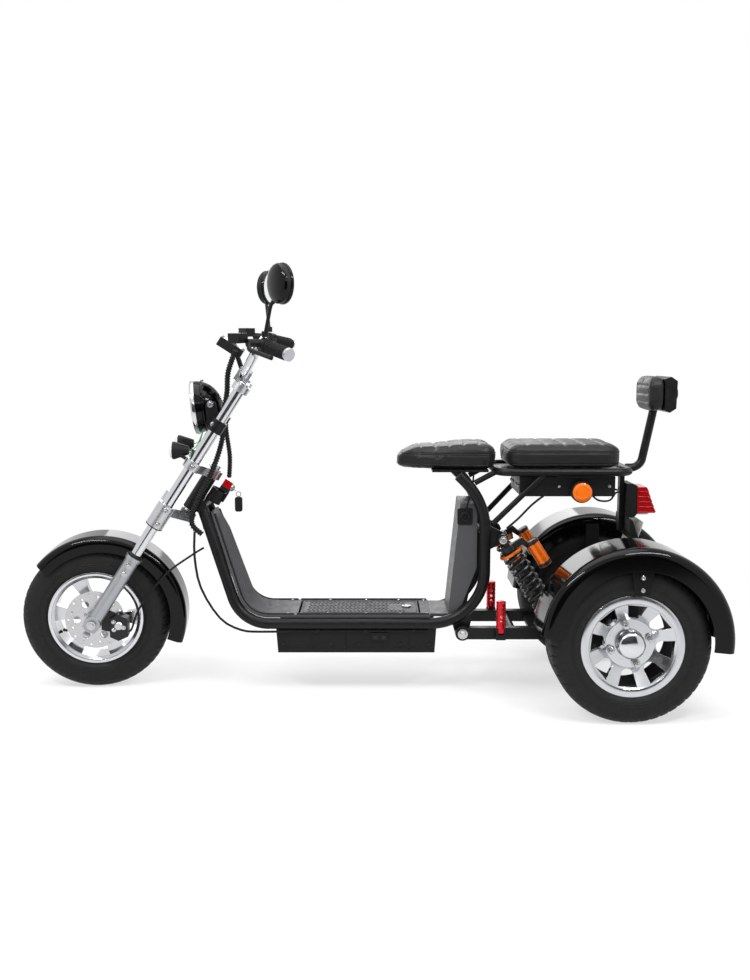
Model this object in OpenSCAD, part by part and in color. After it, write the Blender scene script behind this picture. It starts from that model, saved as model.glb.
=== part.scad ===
// Three-wheeled electric scooter: tube frame, raked fork, two fat rear wheels, two seats.
// Units are millimetres. X points forward, Y to the rider's left, Z up.
// Places are written [aft, left, up]: aft is counted backward from the front axle.

/* [Wheels] */
// distance between the front and rear axle lines
wheelbase = 1512; // [1440:1:1580]
// outer diameter of the tyres
tyre_d = 430; // [410:1:450]
// width of the front tyre
front_tyre_w = 106; // [96:1:112]
// width of each rear tyre
rear_tyre_w = 158; // [145:1:164]
// distance between the rear wheel centre planes
track = 584; // [570:1:600]
// diameter of the rim flanges
rim_d = 276; // [268:1:284]
// spokes of the front rim
front_spokes = 6; // [5:1:8]
// openings in each rear rim
rear_openings = 8; // [6:1:9]
// bolt circle of the rear rims
lug_pcd = 110; // [104:1:116]
// diameter of the front brake disc
disc_d = 172; // [160:1:180]

/* [Steering] */
// angle of the steering axis from the vertical
rake = 33; // [31:0.5:35]
// distance from the fork line back to the steering axis
fork_offset = 60; // [56:1:66]
// distance between the fork tubes
fork_spacing = 176; // [172:1:184]
// diameter of the bright fork tubes
fork_tube_d = 33; // [30:1:36]
// diameter of the lower fork legs
fork_leg_d = 42; // [40:1:43]
// height of the top yoke along the fork line from the axle
fork_reach = 815; // [790:1:840]
// angle to the left at which the steering is parked
parked_steer = 5; // [0:1:12]
// diameter of the handlebar
bar_d = 25; // [22:1:28]
// diameter of the headlamp
headlamp_d = 150; // [136:1:160]
// diameter of the mirrors
mirror_d = 104; // [90:1:116]

/* [Frame] */
// diameter of the side rails
rail_d = 32; // [28:1:34]
// distance between the side rails at the floor
rail_spacing = 200; // [194:1:210]
// height of the rail centre line under the floor
rail_z = 211; // [205:1:217]
// thickness of the moulded floor and leg panels
panel_t = 9; // [7:1:11]
// length of the floor hatch
hatch_length = 348; // [320:1:360]
// width of the floor hatch
hatch_width = 150; // [136:1:154]
// lowest face of the battery box
box_bottom = 124; // [116:1:132]

/* [Seats] */
// underside of the driver seat
seat_z = 660; // [650:1:670]
// thickness of the driver seat
seat_t = 74; // [64:1:84]
// width of the driver seat
seat_w = 236; // [216:1:250]
// height of the rack tube centre line
rack_z = 655; // [648:1:662]
// width of the passenger seat
pillion_w = 280; // [262:1:300]
// thickness of the passenger seat
pillion_t = 68; // [56:1:80]
// height of the top of the backrest pad
backrest_top = 924; // [890:1:950]

/* [Rear] */
// gap from the tyre to the crown of the rear fenders
fender_gap = 42; // [38:1:48]
// width of each rear fender
fender_w = 190; // [184:1:196]
// gap from the tyre to the crown of the front fender
nose_gap = 29; // [27:1:34]
// width of the front fender
nose_w = 124; // [122:1:128]
// diameter of the rear axle tubes
axle_tube_d = 56; // [50:1:62]
// diameter of the motor case
motor_d = 176; // [160:1:186]
// length of each folding footpeg
peg_length = 76; // [66:1:86]

/* [Hidden] */
$fn = 48;
tyre_r = tyre_d / 2;
rim_r = rim_d / 2;
seat_r = rim_r - 11;
rail_r = rail_d / 2;
rail_y = rail_spacing / 2;
wheel_y = track / 2;
leg_y = fork_spacing / 2;
// reach of the rear fenders behind the rear axle, which sets the middle of the length
fender_r = tyre_r + fender_gap;
fender_back = 12;
fender_up = 13;
front_x = (wheelbase + fender_back + fender_r + tyre_r) / 2 - tyre_r;
// running clearance of shafts and pins
fit = 0.05;
// gap between seated pieces
seat_gap = 0.3;
// swelling of a tube at its bends
bend_swell = 0.15;

// place given as [aft, left, up], turned into the frame of the part
function w(p) = [front_x - p[0], p[1], p[2]];
// place in the fork's side plane, given behind the fork line and up along it
function fork(back, up) = [up * sin(rake) + back * cos(rake), tyre_r + up * cos(rake) - back * sin(rake)];
function at(q, y) = [q[0], y, q[1]];
function unit(v) = v / norm(v);
function flip(p, side) = [p[0], p[1] * side, p[2]];

// frame rails: corner places of the left rail and the bend at each inner corner
neck = fork(fork_offset + 27, 458);
neck_y = 50;
rail_corners = [at(neck, neck_y), [440, rail_y, rail_z], [1143, rail_y, rail_z], [1143, rail_y, 566],
    [1066, rail_y, seat_z - 17]];
rail_bends = [110, 155, 200];
floor_under = rail_z + rail_r + seat_gap;
floor_top = floor_under + panel_t;
leg_way = unit([440, rail_y, rail_z] - at(neck, neck_y));
leg_cut = rail_bends[0] * tan(acos(leg_way[0]) / 2);
leg_bend = [440 + leg_cut, rail_z - rail_bends[0] * leg_way[2] / sqrt(1 - leg_way[0] * leg_way[0])];
leg_angle = atan2(440 - neck[0], neck[1] - rail_z);
// gap from the top of the leg panel to the neck, along the leg
neck_gap = 27.8;
leg_length = norm([440 - neck[0], neck[1] - rail_z]) - leg_cut - neck_gap;

// floor hatch, set back from the end of the floor
floor_end = 988;
hatch_back_gap = 33;
hatch_front = floor_end - hatch_back_gap - hatch_length;
hatch_mid = hatch_front + hatch_length / 2;
hatch_gap = 5;
hinge_r = panel_t / 2;
// top of the riser under the driver seat
riser_top = 560;

// swingarm, shocks and footpegs
pivot = [1080, 185];
arm_y = rail_y + 4;
arm_w = 26;
shock_top = [1193, 460];
shock_low = [1342, 226];
shock_axis = unit([shock_low[0] - shock_top[0], shock_low[1] - shock_top[1]]);
shock_length = norm([shock_low[0] - shock_top[0], shock_low[1] - shock_top[1]]);
shock_tilt = atan2(shock_low[0] - shock_top[0], shock_top[1] - shock_low[1]);
peg_aft = 1188;
peg_y = arm_y + arm_w / 2 + 16;
peg_z = 196;

// plan of the driver seat: aft, and the share of its half width
seat_plan = [[885, 0.24], [898, 0.45], [940, 0.66], [1056, 0.97], [1130, 1], [1165, 0.8], [1176, 0.5]];

// rear rack and seats
rack_r = 11;
rack_y = 128;
rack_front = 1174;
rack_back = 1552;
// foot of the struts that hold the rack's front, just clear of the rails' upper bend
strut_turn = 39.3;
strut_reach = rail_bends[2] + rail_r + 2;
strut_foot = [1143 - rail_bends[2] + strut_reach * cos(strut_turn), rail_y - 3,
    483 + strut_reach * sin(strut_turn)];
pillion_z = rack_z + rack_r + seat_gap;
pillion_front = 1200;
pillion_back = 1528;

// wheels
front_rim_w = 84;
rear_rim_w = 142;
axle_r = 7;
shaft_r = 12;
hub_face = 26;
motor_half = 84;
axle_end = 254;

// piece to draw, or all of them

// round bar between two places
module bar(a, b, r) {
    d = w(b) - w(a);
    translate(w(a))
        rotate([0, acos(d[2] / norm(d)), atan2(d[1], d[0])])
            cylinder(h = norm(d), r = r);
}

// straight tubes through the places, joined by round bends at the inner ones
module bent_tube(places, bends, r) {
    n = len(places);
    p = [for (q = places) w(q)];
    d = [for (i = [0:n - 2]) unit(p[i + 1] - p[i])];
    turn = [for (i = [0:n - 1]) i == 0 || i == n - 1 ? 0 : acos(d[i - 1] * d[i])];
    cut = [for (i = [0:n - 1]) i == 0 || i == n - 1 ? 0 : bends[i - 1] * tan(turn[i] / 2)];
    for (i = [0:n - 2]) {
        a = p[i] + d[i] * (cut[i] - (i == 0 ? 0 : 1.5));
        b = p[i + 1] - d[i] * (cut[i + 1] - (i == n - 2 ? 0 : 1.5));
        translate(a)
            rotate([0, acos(d[i][2]), atan2(d[i][1], d[i][0])])
                cylinder(h = norm(b - a), r = r);
    }
    for (i = [1:n - 2]) {
        inward = unit(d[i] - d[i - 1] * (d[i - 1] * d[i]));
        c = p[i] - d[i - 1] * cut[i] + inward * bends[i - 1];
        ax = -inward;
        ay = d[i - 1];
        az = cross(ax, ay);
        multmatrix([[ax[0], ay[0], az[0], c[0]], [ax[1], ay[1], az[1], c[1]], [ax[2], ay[2], az[2], c[2]]])
            rotate_extrude(angle = turn[i])
                translate([bends[i - 1], 0])
                    circle(r + bend_swell);
    }
}

// plate with a side outline of [aft, up] corners, between two places across
module side_plate(outline, y0, y1) {
    translate([0, y1, 0])
        rotate([90, 0, 0])
            linear_extrude(y1 - y0)
                polygon([for (q = outline) [front_x - q[0], q[1]]]);
}

// round boss along Y
module cross_boss(aft, up, r, y0, y1) {
    translate([front_x - aft, y0, up])
        rotate([-90, 0, 0])
            cylinder(h = y1 - y0, r = r);
}

// both sides of the part
module both_sides() {
    children();
    mirror([0, 1, 0])
        children();
}

// frame of the fork: X ahead of the fork line, Z up along it, turned with the parked steering
module on_fork() {
    translate([front_x, 0, tyre_r])
        rotate([0, -rake, 0])
            translate([-fork_offset, 0, 0])
                rotate([0, 0, parked_steer])
                    translate([fork_offset, 0, 0])
                        children();
}

// frame of the part, turned with the parked steering
module steered() {
    on_fork()
        rotate([0, rake, 0])
            translate([-front_x, 0, -tyre_r])
                children();
}

// frame of the head tube, which stays with the frame
module on_neck() {
    translate([front_x, 0, tyre_r])
        rotate([0, -rake, 0])
            translate([-fork_offset, 0, 0])
                children();
}

// wheel frame: Z of the child points to the left
module wheel_at(aft, y) {
    translate([front_x - aft, y, tyre_r])
        rotate([-90, 0, 0])
            children();
}

// flat shape with round corners
module round_square(x0, x1, y0, y1, r) {
    translate([x0 + r, y0])
        square([x1 - x0 - 2 * r, y1 - y0]);
    translate([x0, y0 + r])
        square([x1 - x0, y1 - y0 - 2 * r]);
    for (x = [x0 + r, x1 - r])
        for (y = [y0 + r, y1 - r])
            translate([x, y])
                circle(r);
}

// smooth line through places, and a hose along it
function blend(a, b, c, d, t) = 0.5 * (2 * b + (c - a) * t + (2 * a - 5 * b + 4 * c - d) * t * t
    + (3 * b - a - 3 * c + d) * t * t * t);
function smooth(p, n) = concat([for (i = [0:len(p) - 2]) for (k = [0:n - 1])
    blend(p[max(i - 1, 0)], p[i], p[i + 1], p[min(i + 2, len(p) - 1)], k / n)], [p[len(p) - 1]]);
module hose(places, r, steps) {
    p = smooth([for (q = places) w(q)], steps);
    n = len(p);
    sides = 10;
    t = [for (i = [0:n - 1]) unit(p[min(i + 1, n - 1)] - p[max(i - 1, 0)])];
    u = [for (i = [0:n - 1]) unit(cross(t[i], [0, 1, 0]))];
    v = [for (i = [0:n - 1]) cross(t[i], u[i])];
    polyhedron(
        points = [for (i = [0:n - 1]) for (k = [0:sides - 1])
            p[i] + r * (cos(k * 360 / sides) * u[i] + sin(k * 360 / sides) * v[i])],
        faces = concat(
            [[for (k = [sides - 1:-1:0]) k]],
            [for (i = [0:n - 2]) for (k = [0:sides - 1]) let (m = (k + 1) % sides)
                [i * sides + k, i * sides + m, (i + 1) * sides + m, (i + 1) * sides + k]],
            [[for (k = [0:sides - 1]) (n - 1) * sides + k]]));
}

// frame
module rails(r) {
    for (side = [1, -1])
        bent_tube([for (q = rail_corners) flip(q, side)], rail_bends, r);
}

module frame() color("#1c1d1f") {
    difference() {
        union() {
            rails(rail_r);
            on_neck()
                translate([0, 0, 420])
                    cylinder(h = 112, r = 21);
            bar(at(neck, -neck_y - rail_r - 2), at(neck, neck_y + rail_r + 2), rail_r + 1);
            side_plate([fork(fork_offset + 10, 428), fork(fork_offset + 10, 500), fork(fork_offset + 17, 478),
                fork(fork_offset + 40, 450), fork(fork_offset + 80, 398), fork(fork_offset + 68, 392),
                fork(fork_offset + 36, 424)], -15, 15);
        }
        on_neck()
            translate([0, 0, 400])
                cylinder(h = 160, r = 15 + fit);
    }
    for (aft = [560, 975])
        bar([aft, -rail_y, rail_z], [aft, rail_y, rail_z], 11);
    bar([1143, -rail_y, 470], [1143, rail_y, 470], 11);
    both_sides() {
        side_plate([[1048, 222], [1062, 172], [1072, 163], [1088, 163], [1098, 172], [1116, 268]],
            rail_y - 21, rail_y - 10);
        side_plate([[1136, 506], [1136, 416], [1186, 441], [1204, 447], [1210, 460], [1204, 473]],
            rail_y - 21, rail_y - 10);
        cross_boss(shock_top[0], shock_top[1], 6, rail_y - 15, arm_y + 18);
    }
    cross_boss(pivot[0], pivot[1], 8, -arm_y - 18, arm_y + 18);
    side_plate([[990, seat_z - 7], [990, seat_z - seat_gap], [1150, seat_z - seat_gap], [1150, seat_z - 7]],
        -rail_y - 8, rail_y + 8);
}

module leg_panel() color("#4a4d51") {
    top_r = leg_bend[1] - rail_z - rail_r - bend_swell - seat_gap - panel_t;
    translate([front_x - leg_bend[0], 0, leg_bend[1]])
        rotate([-90, 0, 0])
            rotate([0, 0, leg_angle])
                rotate_extrude(angle = 90 - leg_angle)
                    translate([top_r, -rail_y + 4])
                        square([panel_t, 2 * rail_y - 8]);
    translate([front_x - leg_bend[0] + top_r * cos(leg_angle), 0, leg_bend[1] - top_r * sin(leg_angle)])
        multmatrix([[0, sin(leg_angle), cos(leg_angle), 0], [1, 0, 0, 0], [0, cos(leg_angle), -sin(leg_angle), 0]])
            translate([0, 0, 0.2])
                linear_extrude(panel_t - 0.4)
                    polygon([[4.2 - rail_y, -4], [rail_y - 4.2, -4], [neck_y - 2, leg_length],
                        [2 - neck_y, leg_length]]);
}

module floor_panel() color("#4a4d51") {
    difference() {
        side_plate([[leg_bend[0] + 0.2, floor_under], [leg_bend[0] + 0.2, floor_top], [floor_end, floor_top],
            [floor_end, floor_under]], 4 - rail_y, rail_y - 4);
        side_plate([[hatch_front - hatch_gap, floor_under - 5], [hatch_front - hatch_gap, floor_top + 5],
            [hatch_front + hatch_length + hatch_gap, floor_top + 5],
            [hatch_front + hatch_length + hatch_gap, floor_under - 5]],
            -hatch_width / 2 - hatch_gap, hatch_width / 2 + hatch_gap);
    }
    cross_boss(hatch_front + hinge_r, floor_top - hinge_r, 2, -hatch_width / 2 - 8, hatch_width / 2 + 8);
}

module floor_hatch() color("#3f4246") {
    difference() {
        union() {
            side_plate([[hatch_front + hinge_r, floor_top - panel_t + 1], [hatch_front + hinge_r, floor_top],
                [hatch_front + hatch_length, floor_top], [hatch_front + hatch_length, floor_top - panel_t + 1]],
                -hatch_width / 2, hatch_width / 2);
            cross_boss(hatch_front + hinge_r, floor_top - hinge_r, hinge_r, -hatch_width / 2, hatch_width / 2);
        }
        cross_boss(hatch_front + hinge_r, floor_top - hinge_r, 2 + fit, -hatch_width, hatch_width);
    }
    translate([front_x - hatch_front - hatch_length + 34, 0, floor_top - 0.5])
        cylinder(h = 3, r = 13);
}

module seat_riser() color("#55585c") {
    half = rail_y - rail_r - 2;
    side_plate([[floor_end + 0.4, floor_under], [floor_end + 0.4, floor_top], [1040, floor_top], [1073, riser_top],
        [1122, riser_top], [1122, riser_top - 6], [1079, riser_top - 6], [1046, floor_under]], -half, half);
    both_sides()
        side_plate([[1043, floor_top], [1075, riser_top - 2], [1122, riser_top - 2], [1122, 372], [1080, 262],
            [1046, floor_under]],
            half - 4, half);
}

module battery_box() color("#242527") {
    half = rail_y - 1;
    lift = rail_z - rail_r - seat_gap;
    difference() {
        side_plate([[545, box_bottom], [540, lift], [1005, lift], [1000, box_bottom]], -half, half);
        side_plate([[614, box_bottom + 4], [614, lift + 5], [946, lift + 5], [946, box_bottom + 4]],
            -rail_y + rail_r + 4, rail_y - rail_r - 4);
    }
    side_plate([[815, lift - 34], [815, lift - 11], [865, lift - 11], [865, lift - 34]], half - 1, half + 6);
}

module battery() color("#2f5d8a") {
    side_plate([[618, box_bottom + 4.3], [618, floor_under - 14], [942, floor_under - 14], [942, box_bottom + 4.3]],
        -rail_y + rail_r + 8, rail_y - rail_r - 8);
}

module driver_seat() color("#26211f") {
    half = seat_w / 2;
    intersection() {
        side_plate([[893, seat_z + 16], [930, seat_z], [1158, seat_z], [1176, seat_z + 16],
            [1173, seat_z + seat_t - 16], [1148, seat_z + seat_t], [1090, seat_z + seat_t],
            [1000, seat_z + seat_t - 12], [910, seat_z + seat_t - 12], [888, seat_z + seat_t - 28]], -half, half);
        translate([front_x, 0, seat_z])
            linear_extrude(seat_t)
                polygon([for (q = concat(seat_plan, [for (i = [len(seat_plan) - 1:-1:0])
                    [seat_plan[i][0], -seat_plan[i][1]]])) [-q[0], q[1] * half]]);
    }
}

module rear_rack() color("#1f2022") {
    bent_tube([[1360, rack_y, rack_z], [rack_back, rack_y, rack_z], [rack_back, -rack_y, rack_z],
        [rack_front, -rack_y, rack_z], [rack_front, rack_y, rack_z], [1362, rack_y, rack_z]],
        [45, 45, 45, 45], rack_r);
    both_sides() {
        bar([1164, rail_y + 6, 505], [1308, rack_y, rack_z - 2], 8);
        bar(strut_foot, [rack_front - 2, rail_y - 6, rack_z - 2], 8);
    }
    side_plate([[rack_front, rack_z - 3], [rack_front, rack_z + 1], [rack_back, rack_z + 1], [rack_back, rack_z - 3]],
        -rack_y, rack_y);
    side_plate([[1545, 470], [1545, rack_z - 4], [1559, rack_z - 4], [1559, 470]], -13, 13);
}

module passenger_seat() color("#26211f") {
    half = pillion_w / 2;
    intersection() {
        side_plate([[pillion_front + 14, pillion_z], [pillion_front, pillion_z + 20],
            [pillion_front + 4, pillion_z + pillion_t - 22], [pillion_front + 30, pillion_z + pillion_t],
            [pillion_back - 30, pillion_z + pillion_t], [pillion_back - 4, pillion_z + pillion_t - 22],
            [pillion_back, pillion_z + 20], [pillion_back - 14, pillion_z]], -half, half);
        translate([front_x - pillion_back, 0, pillion_z])
            linear_extrude(pillion_t)
                round_square(0, pillion_back - pillion_front, -half, half, 48);
    }
}

module controller_box() color("#232426") {
    under = rack_z - rack_r - seat_gap;
    side_plate([[1244, 583], [1238, under - 4], [1512, under - 4], [1512, 583]], -101, 101);
    side_plate([[1340, under - 4], [1340, under], [1498, under], [1498, under - 4]], -rack_y, rack_y);
    both_sides()
        cross_boss(1410, 600, 29, 99, 138);
}

module marker_lenses() color("#e07a10") {
    both_sides()
        cross_boss(1410, 600, 27, 138.2, 148);
}

module tail_bracket() color("#1f2022") {
    side_plate([[1559.3, 512], [1559.3, 612], [1578, 612], [1590, 606], [1590, 520], [1582, 512]], -40, 40);
    side_plate([[1559.3, 476], [1559.3, 512], [1568, 512], [1600, 420], [1596, 418]], -88, 88);
}

module tail_lamp() color("#b3121a") {
    side_plate([[1590.2, 524], [1590.2, 602], [1622, 602], [1636, 584], [1632, 544], [1612, 524]], -38, 38);
    for (i = [0:4])
        side_plate([[1591, 526 + 17 * i], [1591, 532 + 17 * i], [1648 - abs(i - 2.4) * 5, 532 + 17 * i],
            [1646 - abs(i - 2.4) * 5, 526 + 17 * i]], -42, 42);
}

module backrest_frame() color("#1c1d1f") {
    bent_tube([[rack_back + rack_r + seat_gap, 0, rack_z], [1606, 0, rack_z], [1646, 0, backrest_top - 66]],
        [34], 12);
    side_plate([[1652, backrest_top - 98], [1650, backrest_top - 8], [1668, backrest_top - 2],
        [1686, backrest_top - 14], [1684, backrest_top - 92], [1666, backrest_top - 104]], -80, 80);
    translate(w([1684, 0, backrest_top - 52]))
        rotate([0, -90, 0])
            cylinder(h = 14, r = 19);
}

module backrest_pad() color("#26211f") {
    intersection() {
        side_plate([[1603, backrest_top - 84], [1601, backrest_top - 22], [1614, backrest_top - 2],
            [1649.6, backrest_top - 6], [1651.6, backrest_top - 98], [1618, backrest_top - 101]], -90, 90);
        translate([front_x, 0, backrest_top - 52])
            rotate([0, -90, 0])
                linear_extrude(1800)
                    round_square(-50, 52, -90, 90, 34);
        difference() {
            translate([front_x - 1700, -90, 0])
                cube([200, 180, 1000]);
            bent_tube([[rack_back + rack_r + seat_gap, 0, rack_z], [1606, 0, rack_z],
                [1646, 0, backrest_top - 66]], [34], 12.3);
        }
    }
}

module swingarm() color("#202123") {
    y0 = arm_y - arm_w / 2;
    y1 = arm_y + arm_w / 2;
    both_sides() {
        difference() {
            union() {
                side_plate([[pivot[0], 168], [pivot[0], 202], [wheelbase - 10, 202], [wheelbase + 6, 185],
                    [wheelbase - 10, 168]], y0, y1);
                cross_boss(pivot[0], pivot[1], 21, y0, y1);
                cross_boss(wheelbase, tyre_r, axle_tube_d / 2 + 10, y0, y1);
            }
            cross_boss(pivot[0], pivot[1], 8.2, y0 - 1, y1 + 1);
            cross_boss(wheelbase, tyre_r, axle_tube_d / 2 + 0.2, y0 - 1, y1 + 1);
        }
        side_plate([[shock_low[0] - 24, 196], [shock_low[0] - 12, 236], [shock_low[0] - 5, 242],
            [shock_low[0] + 5, 242], [shock_low[0] + 12, 236], [shock_low[0] + 24, 196]], arm_y + 10.5, arm_y + 17);
        cross_boss(shock_low[0], shock_low[1], 6, arm_y - 12, arm_y + 17);
        side_plate([[peg_aft - 14, 172], [peg_aft - 14, 186], [peg_aft + 14, 186], [peg_aft + 14, 172]],
            y1 - 1, peg_y + 8);
        for (x = [-14, 8.5])
            union() {
                side_plate([[peg_aft + x, 180], [peg_aft + x, peg_z], [peg_aft + x + 5.5, peg_z],
                    [peg_aft + x + 5.5, 180]], peg_y - 8, peg_y + 8);
                translate([front_x - peg_aft - x - 5.5, peg_y, peg_z])
                    rotate([0, 90, 0])
                        cylinder(h = 5.5, r = 8);
            }
        translate([front_x - peg_aft - 14, peg_y, peg_z])
            rotate([0, 90, 0])
                cylinder(h = 28, r = 3);
    }
    bar([1225, -y0 - 2, 185], [1225, y0 + 2, 185], 14);
    side_plate([[1280, 180], [1280, 188], [1400, 188], [1400, 180]], -y0 - 2, y0 + 2);
}

// shock frame: Z down along the shock from its top eye
module on_shock() {
    translate([front_x - shock_top[0], arm_y, shock_top[1]])
        rotate([0, 180 + shock_tilt, 0])
            children();
}

module shock_eye(r) {
    difference() {
        union() {
            rotate([90, 0, 0])
                translate([0, 0, -10])
                    cylinder(h = 20, r = r);
            cylinder(h = 27, r = 9);
        }
        rotate([90, 0, 0])
            translate([0, 0, -20])
                cylinder(h = 40, r = 6.2);
    }
}

module shock_dampers() color("#17181a") {
    both_sides()
        on_shock() {
            shock_eye(15);
            translate([0, 0, 24])
                cylinder(h = 26, r = 21);
            translate([0, 0, 44])
                cylinder(h = 6, r = 35);
            translate([0, 0, 48])
                cylinder(h = shock_length - 90, r = 16);
            translate([0, 0, shock_length - 46])
                cylinder(h = 6, r = 35);
            translate([0, 0, shock_length - 44])
                cylinder(h = 20, r = 17);
            translate([0, 0, shock_length])
                rotate([180, 0, 0])
                    shock_eye(14);
        }
}

// coil of round wire along Z
module coil(r, wire, h, turns) {
    steps = 14;
    sides = 8;
    n = turns * steps;
    pitch = (h - 2 * wire) / n;
    polyhedron(
        points = [for (i = [0:n]) for (k = [0:sides - 1])
            let (a = i * 360 / steps, q = k * 360 / sides)
                [(r + wire * cos(q)) * cos(a), (r + wire * cos(q)) * sin(a), wire + pitch * i + wire * sin(q)]],
        faces = concat(
            [[for (k = [0:sides - 1]) k]],
            [for (i = [0:n - 1]) for (k = [0:sides - 1]) let (m = (k + 1) % sides)
                [i * sides + k, (i + 1) * sides + k, (i + 1) * sides + m, i * sides + m]],
            [[for (k = [sides - 1:-1:0]) n * sides + k]]));
}

module shock_springs() color("#141516") {
    both_sides()
        on_shock()
            translate([0, 0, 50.4])
                coil(28, 5, shock_length - 96.8, 8);
}

module shock_reservoirs() color("#e2641a") {
    both_sides()
        on_shock() {
            translate([66, 0, 50])
                cylinder(h = 80, r = 19);
            translate([0, 6, 0])
                rotate([90, 0, 0])
                    linear_extrude(12)
                        polygon([[21.3, 25], [21.3, 41], [38.5, 41], [50, 66], [66, 66], [66, 52], [55, 46], [48, 25]]);
        }
}

module rear_axle() color("#2a2b2d") {
    both_sides()
        difference() {
            union() {
                cross_boss(wheelbase, tyre_r, axle_tube_d / 2, motor_half + 0.3, axle_end);
                cross_boss(wheelbase, tyre_r, axle_tube_d / 2 + 14, motor_half + 0.3, motor_half + 6);
            }
            cross_boss(wheelbase, tyre_r, shaft_r + fit, 150, axle_end + 1);
        }
}

module motor() color("#303236") {
    cross_boss(wheelbase, tyre_r, motor_d / 2, -motor_half, motor_half);
}

module fender_section(half, r, low_out, low_in, corner) {
    difference() {
        round_square(low_in - 60, r, -half, half, corner);
        round_square(low_in - 63, r - 3, 3 - half, half - 3, corner - 3);
        translate([low_in - 70, -half - 1])
            square([70, half + 1]);
        translate([low_in - 70, 0])
            square([70 + low_out - low_in, half + 1]);
    }
}

module rear_fenders() color("#121315") {
    both_sides()
        translate([front_x - wheelbase - fender_back, wheel_y + 4, tyre_r + fender_up])
            rotate([-90, 0, 0])
                rotate([0, 0, 174])
                    rotate_extrude(angle = 182)
                        fender_section(fender_w / 2, fender_r, fender_r - 60, fender_r - 56, 26);
}

module fender_stays() color("#1f2022") {
    inner = wheel_y + 4 - fender_w / 2;
    both_sides() {
        difference() {
            union() {
                side_plate([[wheelbase - 24, tyre_r], [wheelbase - 20, tyre_r + 240], [wheelbase + 20, tyre_r + 240],
                    [wheelbase + 24, tyre_r]], inner - 6.3, inner - 0.3);
                cross_boss(wheelbase, tyre_r, axle_tube_d / 2 + 9, inner - 22, inner - 0.3);
            }
            cross_boss(wheelbase, tyre_r, axle_tube_d / 2 + 0.2, inner - 30, inner + 5);
        }
    }
}

module footpeg() {
    difference() {
        union() {
            translate([front_x - peg_aft, peg_y, peg_z + 10])
                cylinder(h = peg_length, r = 13.5);
            translate([front_x - peg_aft - 7.5, peg_y - 8, peg_z])
                cube([15, 16, 14]);
            translate([front_x - peg_aft - 7.5, peg_y, peg_z])
                rotate([0, 90, 0])
                    cylinder(h = 15, r = 8);
        }
        translate([front_x - peg_aft - 30, peg_y, peg_z])
            rotate([0, 90, 0])
                cylinder(h = 60, r = 3 + fit);
        for (i = [0:2])
            translate([front_x - peg_aft, peg_y - 20, peg_z + 30 + 16 * i])
                rotate([-90, 0, 0])
                    cylinder(h = 40, r = 4.5);
    }
}

module footpeg_left() color("#c3202b") footpeg();

module footpeg_right() color("#c3202b") mirror([0, 1, 0]) footpeg();

module charge_port() color("#1a1b1d") {
    on_neck()
        translate([-46, 0, 458 + rail_r + 1 + seat_gap])
            difference() {
                cylinder(h = 40, r = 23);
                translate([0, 0, 34])
                    cylinder(h = 10, r = 19);
            }
}

module key_switch() color("#b51f25") {
    on_neck() {
        translate([-70, -20, 522])
            cube([26, 40, 34]);
        translate([-73.3, -8, 490])
            cube([4, 16, 40]);
    }
}

// looms, hose and cable: places along each route
loom_a = [[432, 76, 996], [408, 56, 935], [402, 44, 880], [392, 40, 820], [386, 50, 740], [360, 72, 655],
    [320, 78, 576], [298, 78, 505], [327, 74, 468]];
loom_b = [[396, 20, 830], [394, 18, 770], [402, 10, 690], [397.7, 0, 624.8]];
front_hose = [[104.7, 66, 178], [114, 68, 188], [142, 76, 254], [218, 78, 350], [296, 78, 408], [336, 74, 432]];
floor_cable = [[308, 90, 480], [308, 100, 408], [326, 112, 320], [380, 118, 232], [440, 119, 197], [500, 110, 189],
    [620, rail_y + 3.2, 189], [800, rail_y + 3.2, 189], [980, rail_y + 3.2, 189]];

module steering_looms() color("#101112") {
    hose(loom_a, 8, 3);
    hose(loom_b, 7, 3);
}

module brake_hose() color("#101112") hose(front_hose, 3, 4);

module side_cable() color("#101112") hose(floor_cable, 3.5, 3);

// fork and steering
module fork_tubes() color("#d8dadd") {
    on_fork()
        for (y = [-leg_y, leg_y])
            translate([0, y, 234.3])
                cylinder(h = fork_reach + 9 - 234.3, r = fork_tube_d / 2);
}

module fork_legs() color("#b9bcc0") {
    on_fork()
        for (y = [-leg_y, leg_y])
            difference() {
                union() {
                    translate([0, y, -22])
                        cylinder(h = 250, r = fork_leg_d / 2);
                    translate([0, y, 222])
                        cylinder(h = 12, r = fork_leg_d / 2 + 3);
                    translate([0, y + 22, 0])
                        rotate([90, 0, 0])
                            cylinder(h = 44, r = 24);
                }
                translate([0, y + 40, 0])
                    rotate([90, 0, 0])
                        cylinder(h = 80, r = axle_r + 0.1);
            }
}

module yoke_plate(rings, h, ahead) {
    linear_extrude(h) {
        for (y = [-leg_y, leg_y])
            translate([0, y])
                circle(rings);
        translate([-fork_offset, 0])
            circle(29);
        polygon([[ahead, -leg_y], [ahead, leg_y], [-18, leg_y + 10], [-fork_offset - 16, 24],
            [-fork_offset - 16, -24], [-18, -leg_y - 10]]);
    }
}

module fork_bores(z0, z1) {
    for (y = [-leg_y, leg_y])
        translate([0, y, z0])
            cylinder(h = z1 - z0, r = fork_tube_d / 2 + 0.1);
}

module lower_yoke() color("#c3c6c9") {
    on_fork() {
        difference() {
            union() {
                translate([0, 0, 387])
                    yoke_plate(26, 28, 16);
                for (y = [-leg_y, leg_y])
                    translate([0, y, 340])
                        cylinder(h = 75, r = 26);
            }
            fork_bores(330, 430);
        }
        translate([-fork_offset, 0, 400])
            cylinder(h = 176, r = 15);
    }
}

module upper_yoke() color("#c3c6c9") {
    on_fork()
        difference() {
            translate([0, 0, 537])
                yoke_plate(25, 26, 16);
            fork_bores(530, 570);
            translate([-fork_offset, 0, 530])
                cylinder(h = 40, r = 15.2);
        }
}

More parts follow.
